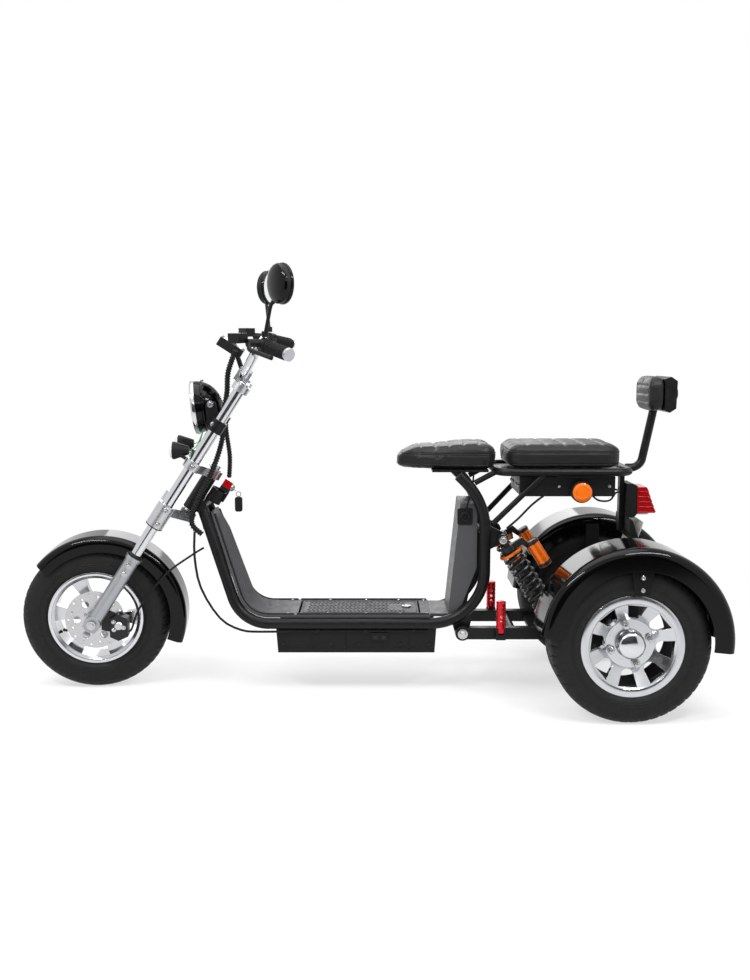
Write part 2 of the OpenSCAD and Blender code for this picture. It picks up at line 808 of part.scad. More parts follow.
bar_ahead = 13;
bar_up = fork_reach + 24;

module bar_yoke() color("#c3c6c9") {
    on_fork()
        difference() {
            union() {
                translate([0, 0, fork_reach - 15])
                    linear_extrude(22) {
                        for (y = [-leg_y, leg_y])
                            translate([0, y])
                                circle(25);
                        translate([-17, -leg_y])
                            square([34, 2 * leg_y]);
                    }
                for (y = [-38, 18])
                    translate([bar_ahead - 20, y, fork_reach + 2])
                        cube([40, 20, 40]);
            }
            fork_bores(fork_reach - 30, fork_reach + 30);
            translate([bar_ahead, 60, bar_up])
                rotate([90, 0, 0])
                    cylinder(h = 120, r = bar_d / 2 + 0.1);
        }
}

// handlebar: corner places of the left half
bar_mid = fork(-bar_ahead, bar_up);
bar_half = [[bar_mid[0], 57, bar_mid[1]], [bar_mid[0] + 40, 104, bar_mid[1] + 74],
    [bar_mid[0] + 54, 215, bar_mid[1] + 98], [bar_mid[0] + 132, 342, bar_mid[1] + 76]];
grip_dir = unit(bar_half[3] - bar_half[2]);
function on_grip(t) = bar_half[2] + t * grip_dir;

module handlebar() color("#c9ccd0") {
    steered()
        bent_tube([bar_half[3], bar_half[2], bar_half[1], bar_half[0], flip(bar_half[0], -1),
            flip(bar_half[1], -1), flip(bar_half[2], -1), flip(bar_half[3], -1)],
            [60, 40, 28, 28, 40, 60], bar_d / 2);
}

module grips() color("#161718") {
    steered()
        both_sides()
            difference() {
                bar(on_grip(46), on_grip(151), 17);
                bar(on_grip(30), on_grip(160), bar_d / 2 + 0.1);
            }
}

module levers() color("#1b1c1e") {
    steered()
        both_sides() {
            difference() {
                union() {
                    bar(on_grip(22), on_grip(43), 21);
                    bar(on_grip(24) + [-6, 4, 6], on_grip(24) + [-44, 22, 8], 11);
                    translate(w(on_grip(14) + [-36, 22, 6]))
                        rotate([0, 0, -32])
                            cube([34, 44, 26]);
                }
                bar(on_grip(0), on_grip(60), bar_d / 2 + 0.4);
            }
            bent_tube([on_grip(24) + [-38, 20, 8], on_grip(64) + [-58, 26, -2], on_grip(150) + [-42, 24, -8]],
                [30], 6);
        }
}

mirror_base = on_grip(31) + [0, 0, 23];
// lean of each stalk, as the mirrors are set
function mirror_lean(side) = side > 0 ? [45, 54, 140] : [0, 54, 136];
function mirror_place(side) = flip(mirror_base + mirror_lean(side), side);

module mirror_head(z0, z1) {
    steered()
        for (side = [1, -1])
            translate(w(mirror_place(side)))
                rotate([0, -90, 30 * side])
                    translate([0, 0, z0])
                        cylinder(h = z1 - z0, r = z0 > 0 ? mirror_d / 2 - 4 : mirror_d / 2);
}

module mirrors() color("#151618") {
    mirror_head(-10, 8);
    steered()
        for (side = [1, -1]) {
            bent_tube([flip(mirror_base + [0, 0, 4], side),
                flip(mirror_base + 0.55 * mirror_lean(side) + [-8, 0, 6], side),
                mirror_place(side) + [-8, 3 * side, -22]], [40], 5);
            translate(w(flip(mirror_base, side)))
                cylinder(h = 16, r = 9);
        }
}

module mirror_glass() color("#dfe6ea") mirror_head(8.2, 11);

module display() color("#18191b") {
    steered() {
        translate(w([bar_mid[0] - 36, 0, bar_mid[1] + 80]))
            rotate([0, -33, 0])
                translate([-38, -52, -12])
                    cube([76, 104, 26]);
        difference() {
            union() {
                cross_boss(bar_mid[0], bar_mid[1], bar_d / 2 + 4, -14, 14);
                bar([bar_mid[0] - 2, 0, bar_mid[1] + 6], [bar_mid[0] - 22, 0, bar_mid[1] + 70], 7);
            }
            cross_boss(bar_mid[0], bar_mid[1], bar_d / 2 + 0.2, -20, 20);
        }
    }
}

// headlamp, held between the upper yoke and the bar yoke; it stands further out where that room is short
lamp_dip = 6;
yoke_top = 563;
lamp_room = fork_reach - 15 - yoke_top;
bracket_z = yoke_top + 0.43 * lamp_room;
lamp_ahead = 67.3 + 0.6 * max(0, headlamp_d + 14 - lamp_room);
lamp = fork(-lamp_ahead, bracket_z + 31.8);
// bosses that meet the lamp's shell behind its middle
pivot_ahead = lamp_ahead - 18.3;
pivot_z = bracket_z + 60;
pivot_y = sqrt(pow(headlamp_d / 2 + 1, 2) - 39 * 39) + seat_gap;

module on_lamp() {
    steered()
        translate([front_x - lamp[0], 0, lamp[1]])
            rotate([0, 90 + lamp_dip, 0])
                children();
}

module headlamp_bracket() color("#1b1c1e") {
    on_fork()
        for (side = [-1, 1])
            difference() {
                union() {
                    translate([0, side * leg_y, bracket_z])
                        cylinder(h = 36, r = 23);
                    translate([0, side * (leg_y - 6) + 3, 0])
                        rotate([90, 0, 0])
                            linear_extrude(6)
                                polygon([[0, bracket_z + 4], [0, bracket_z + 34], [pivot_ahead - 10, pivot_z + 12],
                                    [pivot_ahead + 8, pivot_z + 8], [pivot_ahead + 10, pivot_z - 10],
                                    [24, bracket_z + 4]]);
                    translate([pivot_ahead, side * (leg_y - 6), pivot_z])
                        rotate([side * 90, 0, 0])
                            cylinder(h = leg_y - 6 - pivot_y, r = 8);
                }
                translate([0, side * leg_y, bracket_z - 15])
                    cylinder(h = 120, r = fork_tube_d / 2 + 0.1);
            }
}

module headlamp_shell() color("#131416") {
    r = headlamp_d / 2 + 1;
    on_lamp()
        difference() {
            translate([0, 0, 14])
                sphere(r);
            translate([0, 0, 14])
                sphere(r - 4);
            translate([0, 0, 14])
                cylinder(h = 200, r = 200);
        }
}

module headlamp_ring() color("#e3e6e8") {
    on_lamp()
        translate([0, 0, 14.3])
            difference() {
                cylinder(h = 10, r = headlamp_d / 2 + 3);
                translate([0, 0, -1])
                    cylinder(h = 12, r = headlamp_d / 2 - 6);
            }
}

module headlamp_glass() color("#e9eef0") {
    edge = headlamp_d / 2 - 6.2;
    rise = 11;
    curve = (edge * edge + rise * rise) / (2 * rise);
    on_lamp()
        intersection() {
            translate([0, 0, 16])
                cylinder(h = 40, r = edge);
            translate([0, 0, 28 - curve])
                sphere(curve, $fn = 160);
        }
}

module indicators() color("#17181a") {
    steered()
        both_sides() {
            translate(w([290, 74, 717]))
                rotate([0, 90, 0])
                    cylinder(h = 36, r1 = 12, r2 = 24);
            translate(w([254, 74, 717]))
                rotate([0, 90, 0])
                    cylinder(h = 10, r = 24);
        }
    on_fork()
        both_sides()
            translate([25.4, leg_y - 2, 556])
                rotate([0, 90, 0])
                    cylinder(h = 24, r = 5);
}

module front_fender() color("#101113") {
    crown = tyre_r + nose_gap;
    steered()
        translate([front_x - 22, 0, tyre_r + 5])
            rotate([-90, 0, 0])
                rotate([0, 0, 160])
                    rotate_extrude(angle = 159)
                        fender_section(nose_w / 2, crown, crown - 46, crown - 46, 22);
    on_fork()
        both_sides() {
            translate([-13, nose_w / 2 - 3, 168])
                cube([26, 3, 66]);
            for (z = [180, 206])
                translate([0, leg_y - fork_leg_d / 2 - 0.4, z])
                    rotate([90, 0, 0])
                        cylinder(h = leg_y - fork_leg_d / 2 - nose_w / 2 + 2, r = 7);
        }
}

module front_axle() color("#8e9196") {
    on_fork()
        rotate([90, 0, 0]) {
            translate([0, 0, -leg_y - 34])
                cylinder(h = 2 * leg_y + 68, r = axle_r);
            for (z = [-leg_y - 30, leg_y + 22.4])
                translate([0, 0, z])
                    cylinder(h = 7.6, r = 13);
            for (z = [-leg_y + 22.4, 58])
                translate([0, 0, z])
                    cylinder(h = leg_y - 22.4 - 58, r = 11);
        }
}

module brake_caliper() color("#3a3c40") {
    steered() {
        difference() {
            side_plate([[46, 168], [46, 222], [70, 236], [98, 222], [98, 168], [70, 156]], 41, 80);
            translate(w([0, 49.8, tyre_r]))
                rotate([-90, 0, 0])
                    cylinder(h = 8.4, r = disc_d / 2 + 3);
        }
        side_plate([[20, 186], [20, 250], [60, 232], [60, 176]], 60, 65.6);
    }
}

// wheels
module on_front_wheel() {
    on_fork()
        rotate([0, rake, 0])
            rotate([-90, 0, 0])
                children();
}

module front_rim() color("#c4c7ca") {
    half = front_rim_w / 2;
    on_front_wheel()
        rotate([0, 0, 25.6])
            difference() {
                union() {
                    rotate_extrude()
                        polygon([[rim_r, half], [rim_r, half - 4], [seat_r, half - 6], [seat_r, 6 - half],
                            [rim_r, 4 - half], [rim_r, -half], [rim_r - 6, -half], [seat_r - 7, 8 - half],
                            [seat_r - 7, half - 8], [rim_r - 6, half]]);
                    for (i = [0:front_spokes - 1])
                        rotate([0, 0, (i + 0.5) * 360 / front_spokes])
                            translate([0, 0, -13])
                                linear_extrude(26)
                                    polygon([[20, -14], [46, -15], [84, -15], [seat_r - 4, -24], [seat_r - 4, 24],
                                        [84, 15], [46, 15], [20, 14]]);
                    translate([0, 0, -48])
                        cylinder(h = 96, r = 27);
                    translate([0, 0, -15])
                        cylinder(h = 30, r = 36);
                    translate([0, 0, 40])
                        cylinder(h = 12, r = 40);
                }
                translate([0, 0, -80])
                    cylinder(h = 160, r = axle_r + fit);
            }
}

module tyre_section(width, rim_w, shoulder) {
    half = width / 2;
    bead = rim_w / 2 - 7.4;
    difference() {
        union() {
            polygon([[seat_r + 0.2, -bead], [rim_r, -bead - 1.6], [rim_r + 16, -half], [tyre_r - shoulder, -half],
                [tyre_r - shoulder, half], [rim_r + 16, half], [rim_r, bead + 1.6], [seat_r + 0.2, bead]]);
            translate([seat_r + 10, shoulder - half])
                square([tyre_r - seat_r - 10, width - 2 * shoulder]);
            for (y = [shoulder - half, half - shoulder])
                translate([tyre_r - shoulder, y])
                    circle(shoulder);
        }
        translate([seat_r - 10, 8 - bead])
            square([rim_r - seat_r + 27, 2 * bead - 16]);
        translate([rim_r + 16, 16 - half])
            square([tyre_r - rim_r - 32, width - 32]);
    }
}

module front_tyre() color("#1a1a1b") {
    on_front_wheel()
        rotate_extrude()
            tyre_section(front_tyre_w, front_rim_w, 40);
}

module brake_disc() color("#a9adb1") {
    on_front_wheel()
        difference() {
            translate([0, 0, 52.2])
                cylinder(h = 4, r = disc_d / 2);
            translate([0, 0, 50])
                cylinder(h = 10, r = 16);
            for (i = [0:5])
                rotate([0, 0, 60 * i])
                    translate([52, 0, 50])
                        cylinder(h = 10, r = 11);
            for (i = [0:17])
                rotate([0, 0, 20 * i])
                    translate([disc_d / 2 - 9 - 8 * (i % 2), 0, 50])
                        cylinder(h = 10, r = 3.5);
        }
}

module rear_rim() {
    half = rear_rim_w / 2;
    difference() {
        rotate_extrude()
            polygon([[31, 26], [31, 38], [66, 38], [rim_r - 24, half - 3], [rim_r - 20, half], [rim_r, half],
                [rim_r, half - 5], [seat_r, half - 7], [seat_r, 7 - half], [rim_r, 5 - half], [rim_r, -half],
                [rim_r - 6, -half], [seat_r - 6, 10 - half], [seat_r - 6, half - 20], [70, 26]]);
        for (i = [0:rear_openings - 1])
            rotate([0, 0, 84.8 + i * 360 / rear_openings])
                linear_extrude(100) {
                    translate([88, 0])
                        circle(19);
                    polygon([[88, -19], [rim_r - 27, -26], [rim_r - 27, 26], [88, 19]]);
                }
        for (i = [0:3])
            rotate([0, 0, 17 + 90 * i])
                translate([lug_pcd / 2, 0, 0])
                    cylinder(h = 60, r = 6.2);
    }
}

module rear_hub() {
    translate([0, 0, 160 - wheel_y])
        cylinder(h = wheel_y - 160 + 10, r = shaft_r);
    translate([0, 0, -30])
        cylinder(h = 46, r = 58);
    translate([0, 0, 14])
        cylinder(h = 11.8, r = 68);
    translate([0, 0, 20])
        cylinder(h = 40, r = 30.8);
    translate([0, 0, 38.3])
        cylinder(h = 26, r1 = 37, r2 = 34);
    for (i = [0:3])
        rotate([0, 0, 17 + 90 * i])
            translate([lug_pcd / 2, 0, 20])
                union() {
                    cylinder(h = 30, r = 6);
                    translate([0, 0, 18.3])
                        cylinder(h = 16, r = 9.5);
                }
}

module rear_side(side) {
    mirror([0, side < 0 ? 1 : 0, 0])
        wheel_at(wheelbase, wheel_y)
            children();
}

module rear_hub_left() color("#9a9da1") rear_side(1) rear_hub();

module rear_rim_left() color("#c4c7ca") rear_side(1) rear_rim();

module rear_tyre_left() color("#1a1a1b") {
    rear_side(1)
        rotate_extrude()
            tyre_section(rear_tyre_w, rear_rim_w, 34);
}

module rear_hub_right() color("#9a9da1") rear_side(-1) rear_hub();

module rear_rim_right() color("#c4c7ca") rear_side(-1) rear_rim();

module rear_tyre_right() color("#1a1a1b") {
    rear_side(-1)
        rotate_extrude()
            tyre_section(rear_tyre_w, rear_rim_w, 34);
}

frame();
leg_panel();
floor_panel();
floor_hatch();
seat_riser();
battery_box();
battery();
driver_seat();
rear_rack();
passenger_seat();
controller_box();
marker_lenses();
tail_bracket();
tail_lamp();
backrest_frame();
backrest_pad();
swingarm();
shock_dampers();
shock_springs();
shock_reservoirs();
rear_axle();
motor();
rear_fenders();
fender_stays();
footpeg_left();
footpeg_right();
charge_port();
key_switch();
steering_looms();
brake_hose();
side_cable();
fork_tubes();
fork_legs();
lower_yoke();
upper_yoke();
bar_yoke();
handlebar();
grips();
levers();
mirrors();
mirror_glass();
display();
headlamp_bracket();
headlamp_shell();
headlamp_ring();
headlamp_glass();
indicators();
front_fender();
front_axle();
brake_caliper();
front_rim();
front_tyre();
brake_disc();
rear_hub_left();
rear_rim_left();
rear_tyre_left();
rear_hub_right();
rear_rim_right();
rear_tyre_right();
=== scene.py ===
import math

import bpy
import numpy as np
from mathutils import Matrix, Vector


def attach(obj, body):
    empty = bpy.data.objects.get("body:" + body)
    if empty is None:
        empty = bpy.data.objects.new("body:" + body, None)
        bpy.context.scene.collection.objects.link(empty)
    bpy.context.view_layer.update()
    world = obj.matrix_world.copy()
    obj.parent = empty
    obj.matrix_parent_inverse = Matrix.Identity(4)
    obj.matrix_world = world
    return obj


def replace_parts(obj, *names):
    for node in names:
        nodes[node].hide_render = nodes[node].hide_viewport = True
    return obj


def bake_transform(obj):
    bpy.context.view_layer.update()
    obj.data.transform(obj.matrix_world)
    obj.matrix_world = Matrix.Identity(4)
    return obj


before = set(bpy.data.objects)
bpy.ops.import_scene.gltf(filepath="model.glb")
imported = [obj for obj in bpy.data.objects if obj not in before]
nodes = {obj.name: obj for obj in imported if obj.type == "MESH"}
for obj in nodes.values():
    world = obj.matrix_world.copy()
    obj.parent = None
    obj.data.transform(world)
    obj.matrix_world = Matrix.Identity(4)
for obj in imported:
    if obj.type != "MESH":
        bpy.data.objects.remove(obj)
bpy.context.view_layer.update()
scene = bpy.context.scene

# Sizes of the part in millimetres; places are written aft of the front axle, left and up.
MM = 0.001
FRONT_X = 783.0
TYRE_R = 215.0
RIM_R = 138.0
WHEELBASE = 1512.0
WHEEL_Y = 292.0
RAKE = math.radians(33)
FORK_OFFSET = 60.0
LEG_Y = 88.0
PARKED = math.radians(5)
FLOOR_TOP = 236.3


def at(aft, left, up):
    """A place on the part, in metres."""
    return Vector(((FRONT_X - aft) * MM, left * MM, up * MM))


def shift(x, y, z):
    return Matrix.Translation(Vector((x, y, z)) * MM)


def rot(degrees, axis):
    return Matrix.Rotation(math.radians(degrees), 4, axis)


FORK = (
    Matrix.Translation(at(0, 0, TYRE_R))
    @ Matrix.Rotation(-RAKE, 4, "Y")
    @ shift(-FORK_OFFSET, 0, 0)
    @ Matrix.Rotation(PARKED, 4, "Z")
    @ shift(FORK_OFFSET, 0, 0)
)
STEERED = FORK @ Matrix.Rotation(RAKE, 4, "Y") @ Matrix.Translation(-at(0, 0, TYRE_R))
FRONT_WHEEL = FORK @ Matrix.Rotation(RAKE, 4, "Y") @ rot(-90, "X")
NECK = Matrix.Translation(at(0, 0, TYRE_R)) @ Matrix.Rotation(-RAKE, 4, "Y") @ shift(-FORK_OFFSET, 0, 0)


def turned(aft, left, up):
    """A place on the steered assembly, given as if the steering were straight."""
    return STEERED @ at(aft, left, up)


# Materials


class Graph:
    """A small helper round a material's node tree."""

    def __init__(self, name):
        self.mat = bpy.data.materials.new(name)
        self.mat.use_nodes = True
        self.tree = self.mat.node_tree
        self.shader = self.tree.nodes["Principled BSDF"]
        self.coords = self.add("ShaderNodeTexCoord").outputs["Object"]

    def add(self, kind, values={}, **settings):
        """A node with its settings, and the values of its unlinked sockets."""
        node = self.tree.nodes.new(kind)
        for key, value in settings.items():
            setattr(node, key, value)
        for socket, value in values.items():
            node.inputs[socket].default_value = value
        return node

    def link(self, out, socket):
        self.tree.links.new(out, socket)

    def put(self, **values):
        for key, value in values.items():
            self.shader.inputs[key.replace("_", " ")].default_value = value

    def noise(self, size, detail=3.0, stretch=(1, 1, 1)):
        mapping = self.add("ShaderNodeMapping", {"Scale": stretch})
        self.link(self.coords, mapping.inputs["Vector"])
        node = self.add("ShaderNodeTexNoise", {"Scale": 1 / size, "Detail": detail})
        self.link(mapping.outputs[0], node.inputs["Vector"])
        return node.outputs[0]

    def cells(self, size):
        node = self.add("ShaderNodeTexVoronoi", {"Scale": 1 / size})
        self.link(self.coords, node.inputs["Vector"])
        return node.outputs["Distance"]

    def spread(self, value, low, high, socket):
        node = self.add("ShaderNodeMapRange", {"From Min": 0.3, "From Max": 0.7, "To Min": low, "To Max": high})
        self.link(value, node.inputs["Value"])
        self.link(node.outputs[0], socket)

    def tint(self, value, dark, light):
        mix = self.add("ShaderNodeMix", {6: (*dark, 1), 7: (*light, 1)}, data_type="RGBA")
        self.link(value, mix.inputs[0])
        self.link(mix.outputs[2], self.shader.inputs["Base Color"])

    def relief(self, value, strength, depth, edge):
        bump = self.add("ShaderNodeBump", {"Strength": strength, "Distance": depth})
        self.link(value, bump.inputs["Height"])
        if edge:
            bevel = self.add("ShaderNodeBevel", {"Radius": edge}, samples=4)
            self.link(bevel.outputs[0], bump.inputs["Normal"])
        self.link(bump.outputs[0], self.shader.inputs["Normal"])


def finish_of(name, colour, rough, metal=0.0, vary=0.2, patch=0.05, grain=0.0012, depth=0.0001, bump=0.2,
              edge=0.001, stretch=(1, 1, 1), **sockets):
    """A painted, plated or moulded finish: patches of tone and gloss, fine grain and rounded edges."""
    g = Graph(name)
    patches = g.noise(patch, 4)
    dark = [c * (1 - vary) for c in colour]
    light = [min(1, c * (1 + vary)) for c in colour]
    g.tint(patches, dark, light)
    gloss = g.noise(patch * 0.4, 5, stretch)
    g.spread(gloss, rough * 0.8, min(1, rough * 1.2), g.shader.inputs["Roughness"])
    g.relief(g.noise(grain, 2, stretch), bump, depth, edge)
    g.put(Metallic=metal, **sockets)
    return g.mat


def leather(name):
    g = Graph(name)
    g.tint(g.noise(0.06, 4), (0.0045, 0.0045, 0.0045), (0.010, 0.0098, 0.0096))
    g.spread(g.noise(0.02, 5), 0.36, 0.5, g.shader.inputs["Roughness"])
    g.relief(g.cells(0.0022), 0.35, 0.0004, 0)
    g.put(Specular_IOR_Level=0.22, Sheen_Weight=0.02)
    return g.mat


def lens(name, colour, through=0.35, rough=0.12):
    g = Graph(name)
    g.tint(g.noise(0.02, 2), [c * 0.85 for c in colour], colour)
    g.spread(g.noise(0.008, 3), rough * 0.8, rough * 1.3, g.shader.inputs["Roughness"])
    g.relief(g.cells(0.005), 0.15, 0.0004, 0.0008)
    g.put(Transmission_Weight=through, Specular_IOR_Level=0.3, Coat_Weight=0.25, Coat_Roughness=0.05)
    return g.mat


def glass(name, rough=0.02):
    g = Graph(name)
    g.tint(g.noise(0.05, 2), (0.93, 0.95, 0.96), (0.97, 0.98, 0.98))
    g.spread(g.noise(0.01, 3), rough * 0.6, rough * 1.6, g.shader.inputs["Roughness"])
    g.relief(g.noise(0.012, 1, (1, 6, 1)), 0.12, 0.0006, 0)
    g.put(Transmission_Weight=1.0, IOR=1.45)
    return g.mat


MATS = {
    "frame_black": finish_of("satin_black", (0.005, 0.005, 0.0055), 0.36, vary=0.25, grain=0.0016,
                             bump=0.12, Specular_IOR_Level=0.2),
    "panel_grey": finish_of("moulded_panel", (0.055, 0.055, 0.061), 0.5, vary=0.15, grain=0.0009, bump=0.35,
                            Specular_IOR_Level=0.25),
    "riser_grey": finish_of("riser_plate", (0.05, 0.051, 0.055), 0.42, vary=0.12, grain=0.001, bump=0.25,
                            Specular_IOR_Level=0.3),
    "box_black": finish_of("black_plastic", (0.006, 0.006, 0.0065), 0.48, vary=0.2, grain=0.0008, bump=0.3,
                           Specular_IOR_Level=0.18),
    "battery_blue": finish_of("pack_wrap", (0.03, 0.1, 0.25), 0.4),
    "seat_cover": leather("sewn_cover"),
    "amber_lens": lens("amber_plastic", (0.80, 0.15, 0.003), 0.1),
    "red_lens": lens("red_plastic", (0.36, 0.002, 0.004), 0.08),
    "dark_metal": finish_of("dark_coat", (0.008, 0.008, 0.0085), 0.34, vary=0.2, Specular_IOR_Level=0.3),
    "orange_metal": finish_of("orange_coat", (0.70, 0.13, 0.006), 0.26, metal=0.5, vary=0.08, bump=0.06,
                              Specular_IOR_Level=0.3),
    "fender_black": finish_of("gloss_black", (0.0012, 0.0012, 0.0014), 0.1, vary=0.2, patch=0.2, grain=0.006,
                              bump=0.015, edge=0.0015, Specular_IOR_Level=0.2),
    "red_anodised": finish_of("red_anodised", (0.55, 0.012, 0.02), 0.28, metal=0.8, vary=0.1, bump=0.08),
    "rubber_black": finish_of("black_rubber", (0.006, 0.006, 0.006), 0.6, vary=0.2, grain=0.0007, bump=0.35,
                              Specular_IOR_Level=0.18),
    "bright_chrome": finish_of("bright_plating", (0.60, 0.61, 0.63), 0.13, metal=1.0, vary=0.05, bump=0.02),
    "alloy": finish_of("silver_alloy", (0.48, 0.49, 0.51), 0.3, metal=0.92, vary=0.06, grain=0.0008,
                       bump=0.1),
    "machined": finish_of("machined_alloy", (0.54, 0.55, 0.57), 0.2, metal=1.0, vary=0.05, grain=0.0006,
                          bump=0.08, stretch=(1, 0.15, 1)),
    "fork_grey": finish_of("fork_casting", (0.34, 0.35, 0.37), 0.36, metal=0.8, vary=0.07, grain=0.0009,
                           bump=0.14),
    "mirror_glass": finish_of("mirror", (0.86, 0.88, 0.89), 0.03, metal=1.0, vary=0.02, bump=0.0, edge=0),
    "clear_glass": glass("lamp_glass"),
    "steel": finish_of("turned_steel", (0.5, 0.5, 0.51), 0.26, metal=1.0, vary=0.08, grain=0.0006,
                       bump=0.12),
    "tyre": finish_of("tyre_rubber", (0.0085, 0.0082, 0.008), 0.6, vary=0.25, patch=0.03, grain=0.0008,
                      bump=0.35, edge=0, Specular_IOR_Level=0.2),
    "clear_lens": finish_of("clear_plastic", (0.62, 0.61, 0.58), 0.14, vary=0.06, grain=0.003, bump=0.2),
    "wire_green": finish_of("wire_green", (0.03, 0.30, 0.10), 0.45),
    "wire_white": finish_of("wire_white", (0.6, 0.6, 0.58), 0.45),
    "plate_white": finish_of("blank_plate", (0.62, 0.62, 0.6), 0.4, vary=0.04),
    "screen": finish_of("dark_screen", (0.004, 0.006, 0.008), 0.08, vary=0.1, bump=0.01),
}

NODE_FINISH = {
    "frame_black": ["frame", "rear_rack", "backrest_frame", "swingarm", "rear_axle", "fender_stays",
                    "headlamp_bracket"],
    "panel_grey": ["leg_panel", "floor_panel", "floor_hatch"],
    "riser_grey": ["seat_riser"],
    "box_black": ["battery_box", "controller_box", "tail_bracket", "charge_port", "levers", "mirrors",
                  "display", "indicators"],
    "battery_blue": ["battery"],
    "amber_lens": ["marker_lenses"],
    "red_lens": ["tail_lamp", "key_switch"],
    "dark_metal": ["shock_dampers", "shock_springs", "motor", "brake_caliper"],
    "orange_metal": ["shock_reservoirs"],
    "fender_black": ["rear_fenders", "front_fender", "headlamp_shell"],
    "red_anodised": ["footpeg_left", "footpeg_right"],
    "rubber_black": ["side_cable", "grips"],
    "bright_chrome": ["fork_tubes", "handlebar", "headlamp_ring", "rear_hub_left", "rear_hub_right"],
    "alloy": ["lower_yoke", "upper_yoke", "bar_yoke"],
    "fork_grey": ["fork_legs"],
    "machined": ["front_rim", "rear_rim_left", "rear_rim_right"],
    "mirror_glass": ["mirror_glass"],
    "clear_glass": ["headlamp_glass"],
    "steel": ["front_axle", "brake_disc"],
}
for finish, names in NODE_FINISH.items():
    for name in names:
        nodes[name].data.materials.clear()
        nodes[name].data.materials.append(MATS[finish])


# Mesh building


class Shape:
    """Vertices and faces that end up as one joined mesh."""

    def __init__(self):
        self.verts = []
        self.faces = []

    def add(self, verts, faces):
        base = len(self.verts)
        self.verts += [tuple(v) for v in verts]
        self.faces += [[base + i for i in face] for face in faces]

    def lathe(self, profile, matrix, steps=32, ring=False):
        """A turned form: rows of radius and height in millimetres about Z, hollow if a ring."""
        verts, faces, rings = [], [], []
        for r, z in profile:
            if r < 1e-6:
                rings.append([len(verts)])
                verts.append(matrix @ Vector((0, 0, z * MM)))
                continue
            rings.append([len(verts) + k for k in range(steps)])
            for k in range(steps):
                a = 2 * math.pi * k / steps
                verts.append(matrix @ Vector((r * math.cos(a) * MM, r * math.sin(a) * MM, z * MM)))
        for lower, upper in zip(rings, rings[1:] + (rings[:1] if ring else [])):
            for k in range(steps):
                m = (k + 1) % steps
                low = [lower[k % len(lower)], lower[m % len(lower)]]
                high = [upper[m % len(upper)], upper[k % len(upper)]]
                face = list(dict.fromkeys(low + high))
                if len(face) > 2:
                    faces.append(face)
        for end, flip in ((rings[0], True), (rings[-1], False)):
            if len(end) > 1 and not ring:
                faces.append(end[::-1] if flip else end)
        self.add(verts, faces)

    def tube(self, path, radius, sides=10, closed=False):
        """A round tube along points in metres; the radius in millimetres may change along it."""
        n = len(path)
        radii = radius if isinstance(radius, (list, tuple)) else [radius] * n
        ahead = [(path[(i + 1) % n] if closed or i < n - 1 else path[i])
                 - (path[i - 1] if closed or i > 0 else path[i]) for i in range(n)]
        side = ahead[0].orthogonal().normalized()
        verts, faces = [], []
        for i, point in enumerate(path):
            t = ahead[i].normalized()
            side = (side - t * side.dot(t)).normalized()
            other = t.cross(side)
            for k in range(sides):
                a = 2 * math.pi * k / sides
                verts.append(point + (side * math.cos(a) + other * math.sin(a)) * radii[i] * MM)
        for i in range(n if closed else n - 1):
            for k in range(sides):
                m, j = (k + 1) % sides, (i + 1) % n
                faces.append([i * sides + k, i * sides + m, j * sides + m, j * sides + k])
        if not closed:
            faces.append(list(range(sides))[::-1])
            faces.append([(n - 1) * sides + k for k in range(sides)])
        self.add(verts, faces)

    def plate(self, outline, low, high, matrix, soft=0.0):
        """A flat plate with an outline in millimetres, its upper edge drawn in by soft."""
        n = len(outline)
        cx = sum(p[0] for p in outline) / n
        cy = sum(p[1] for p in outline) / n
        verts = []
        for inset, z in ((0, low), (0, high - soft), (soft, high)):
            for x, y in outline:
                reach = max(1e-6, math.hypot(x - cx, y - cy))
                k = 1 - inset / reach
                verts.append(matrix @ Vector(((cx + (x - cx) * k) * MM, (cy + (y - cy) * k) * MM, z * MM)))
        faces = [list(range(n))[::-1], [2 * n + i for i in range(n)]]
        for level in (0, 1):
            for i in range(n):
                m = (i + 1) % n
                faces.append([level * n + i, level * n + m, (level + 1) * n + m, (level + 1) * n + i])
        self.add(verts, faces)

    def make(self, name, material, slot=None, sharp=35):
        slot = slot or material
        mesh = bpy.data.meshes.new(name)
        mesh.from_pydata(self.verts, [], self.faces)
        mesh.update()
        mesh.shade_smooth()
        mesh.set_sharp_from_angle(angle=math.radians(sharp))
        mesh.materials.append(MATS[material])
        obj = bpy.data.objects.new(name, mesh)
        scene.collection.objects.link(obj)
        return obj

    def ride(self, name, body, material, slot=None, sharp=35):
        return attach(self.make(name, material, slot, sharp), body)


def facing(place, normal):
    """A frame at a place with Z along the normal."""
    return Matrix.Translation(place) @ normal.to_track_quat("Z", "Y").to_matrix().to_4x4()


def spline(points, steps):
    """Catmull-Rom points through the given ones."""
    out = []
    n = len(points)
    for i in range(n - 1):
        a, b, c, d = points[max(i - 1, 0)], points[i], points[i + 1], points[min(i + 2, n - 1)]
        for k in range(steps):
            t = k / steps
            out.append(0.5 * (2 * b + (c - a) * t + (2 * a - 5 * b + 4 * c - d) * t * t
                              + (3 * b - a - 3 * c + d) * t ** 3))
    return out + [points[-1]]


def even(points, step):
    """Points at an even step, in millimetres, along a line of points."""
    out = [points[0].copy()]
    left = step * MM
    for a, b in zip(points, points[1:]):
        gap = (b - a).length
        done = 0.0
        while gap - done >= left:
            done += left
            out.append(a.lerp(b, done / gap))
            left = step * MM
        left -= gap - done
    return out


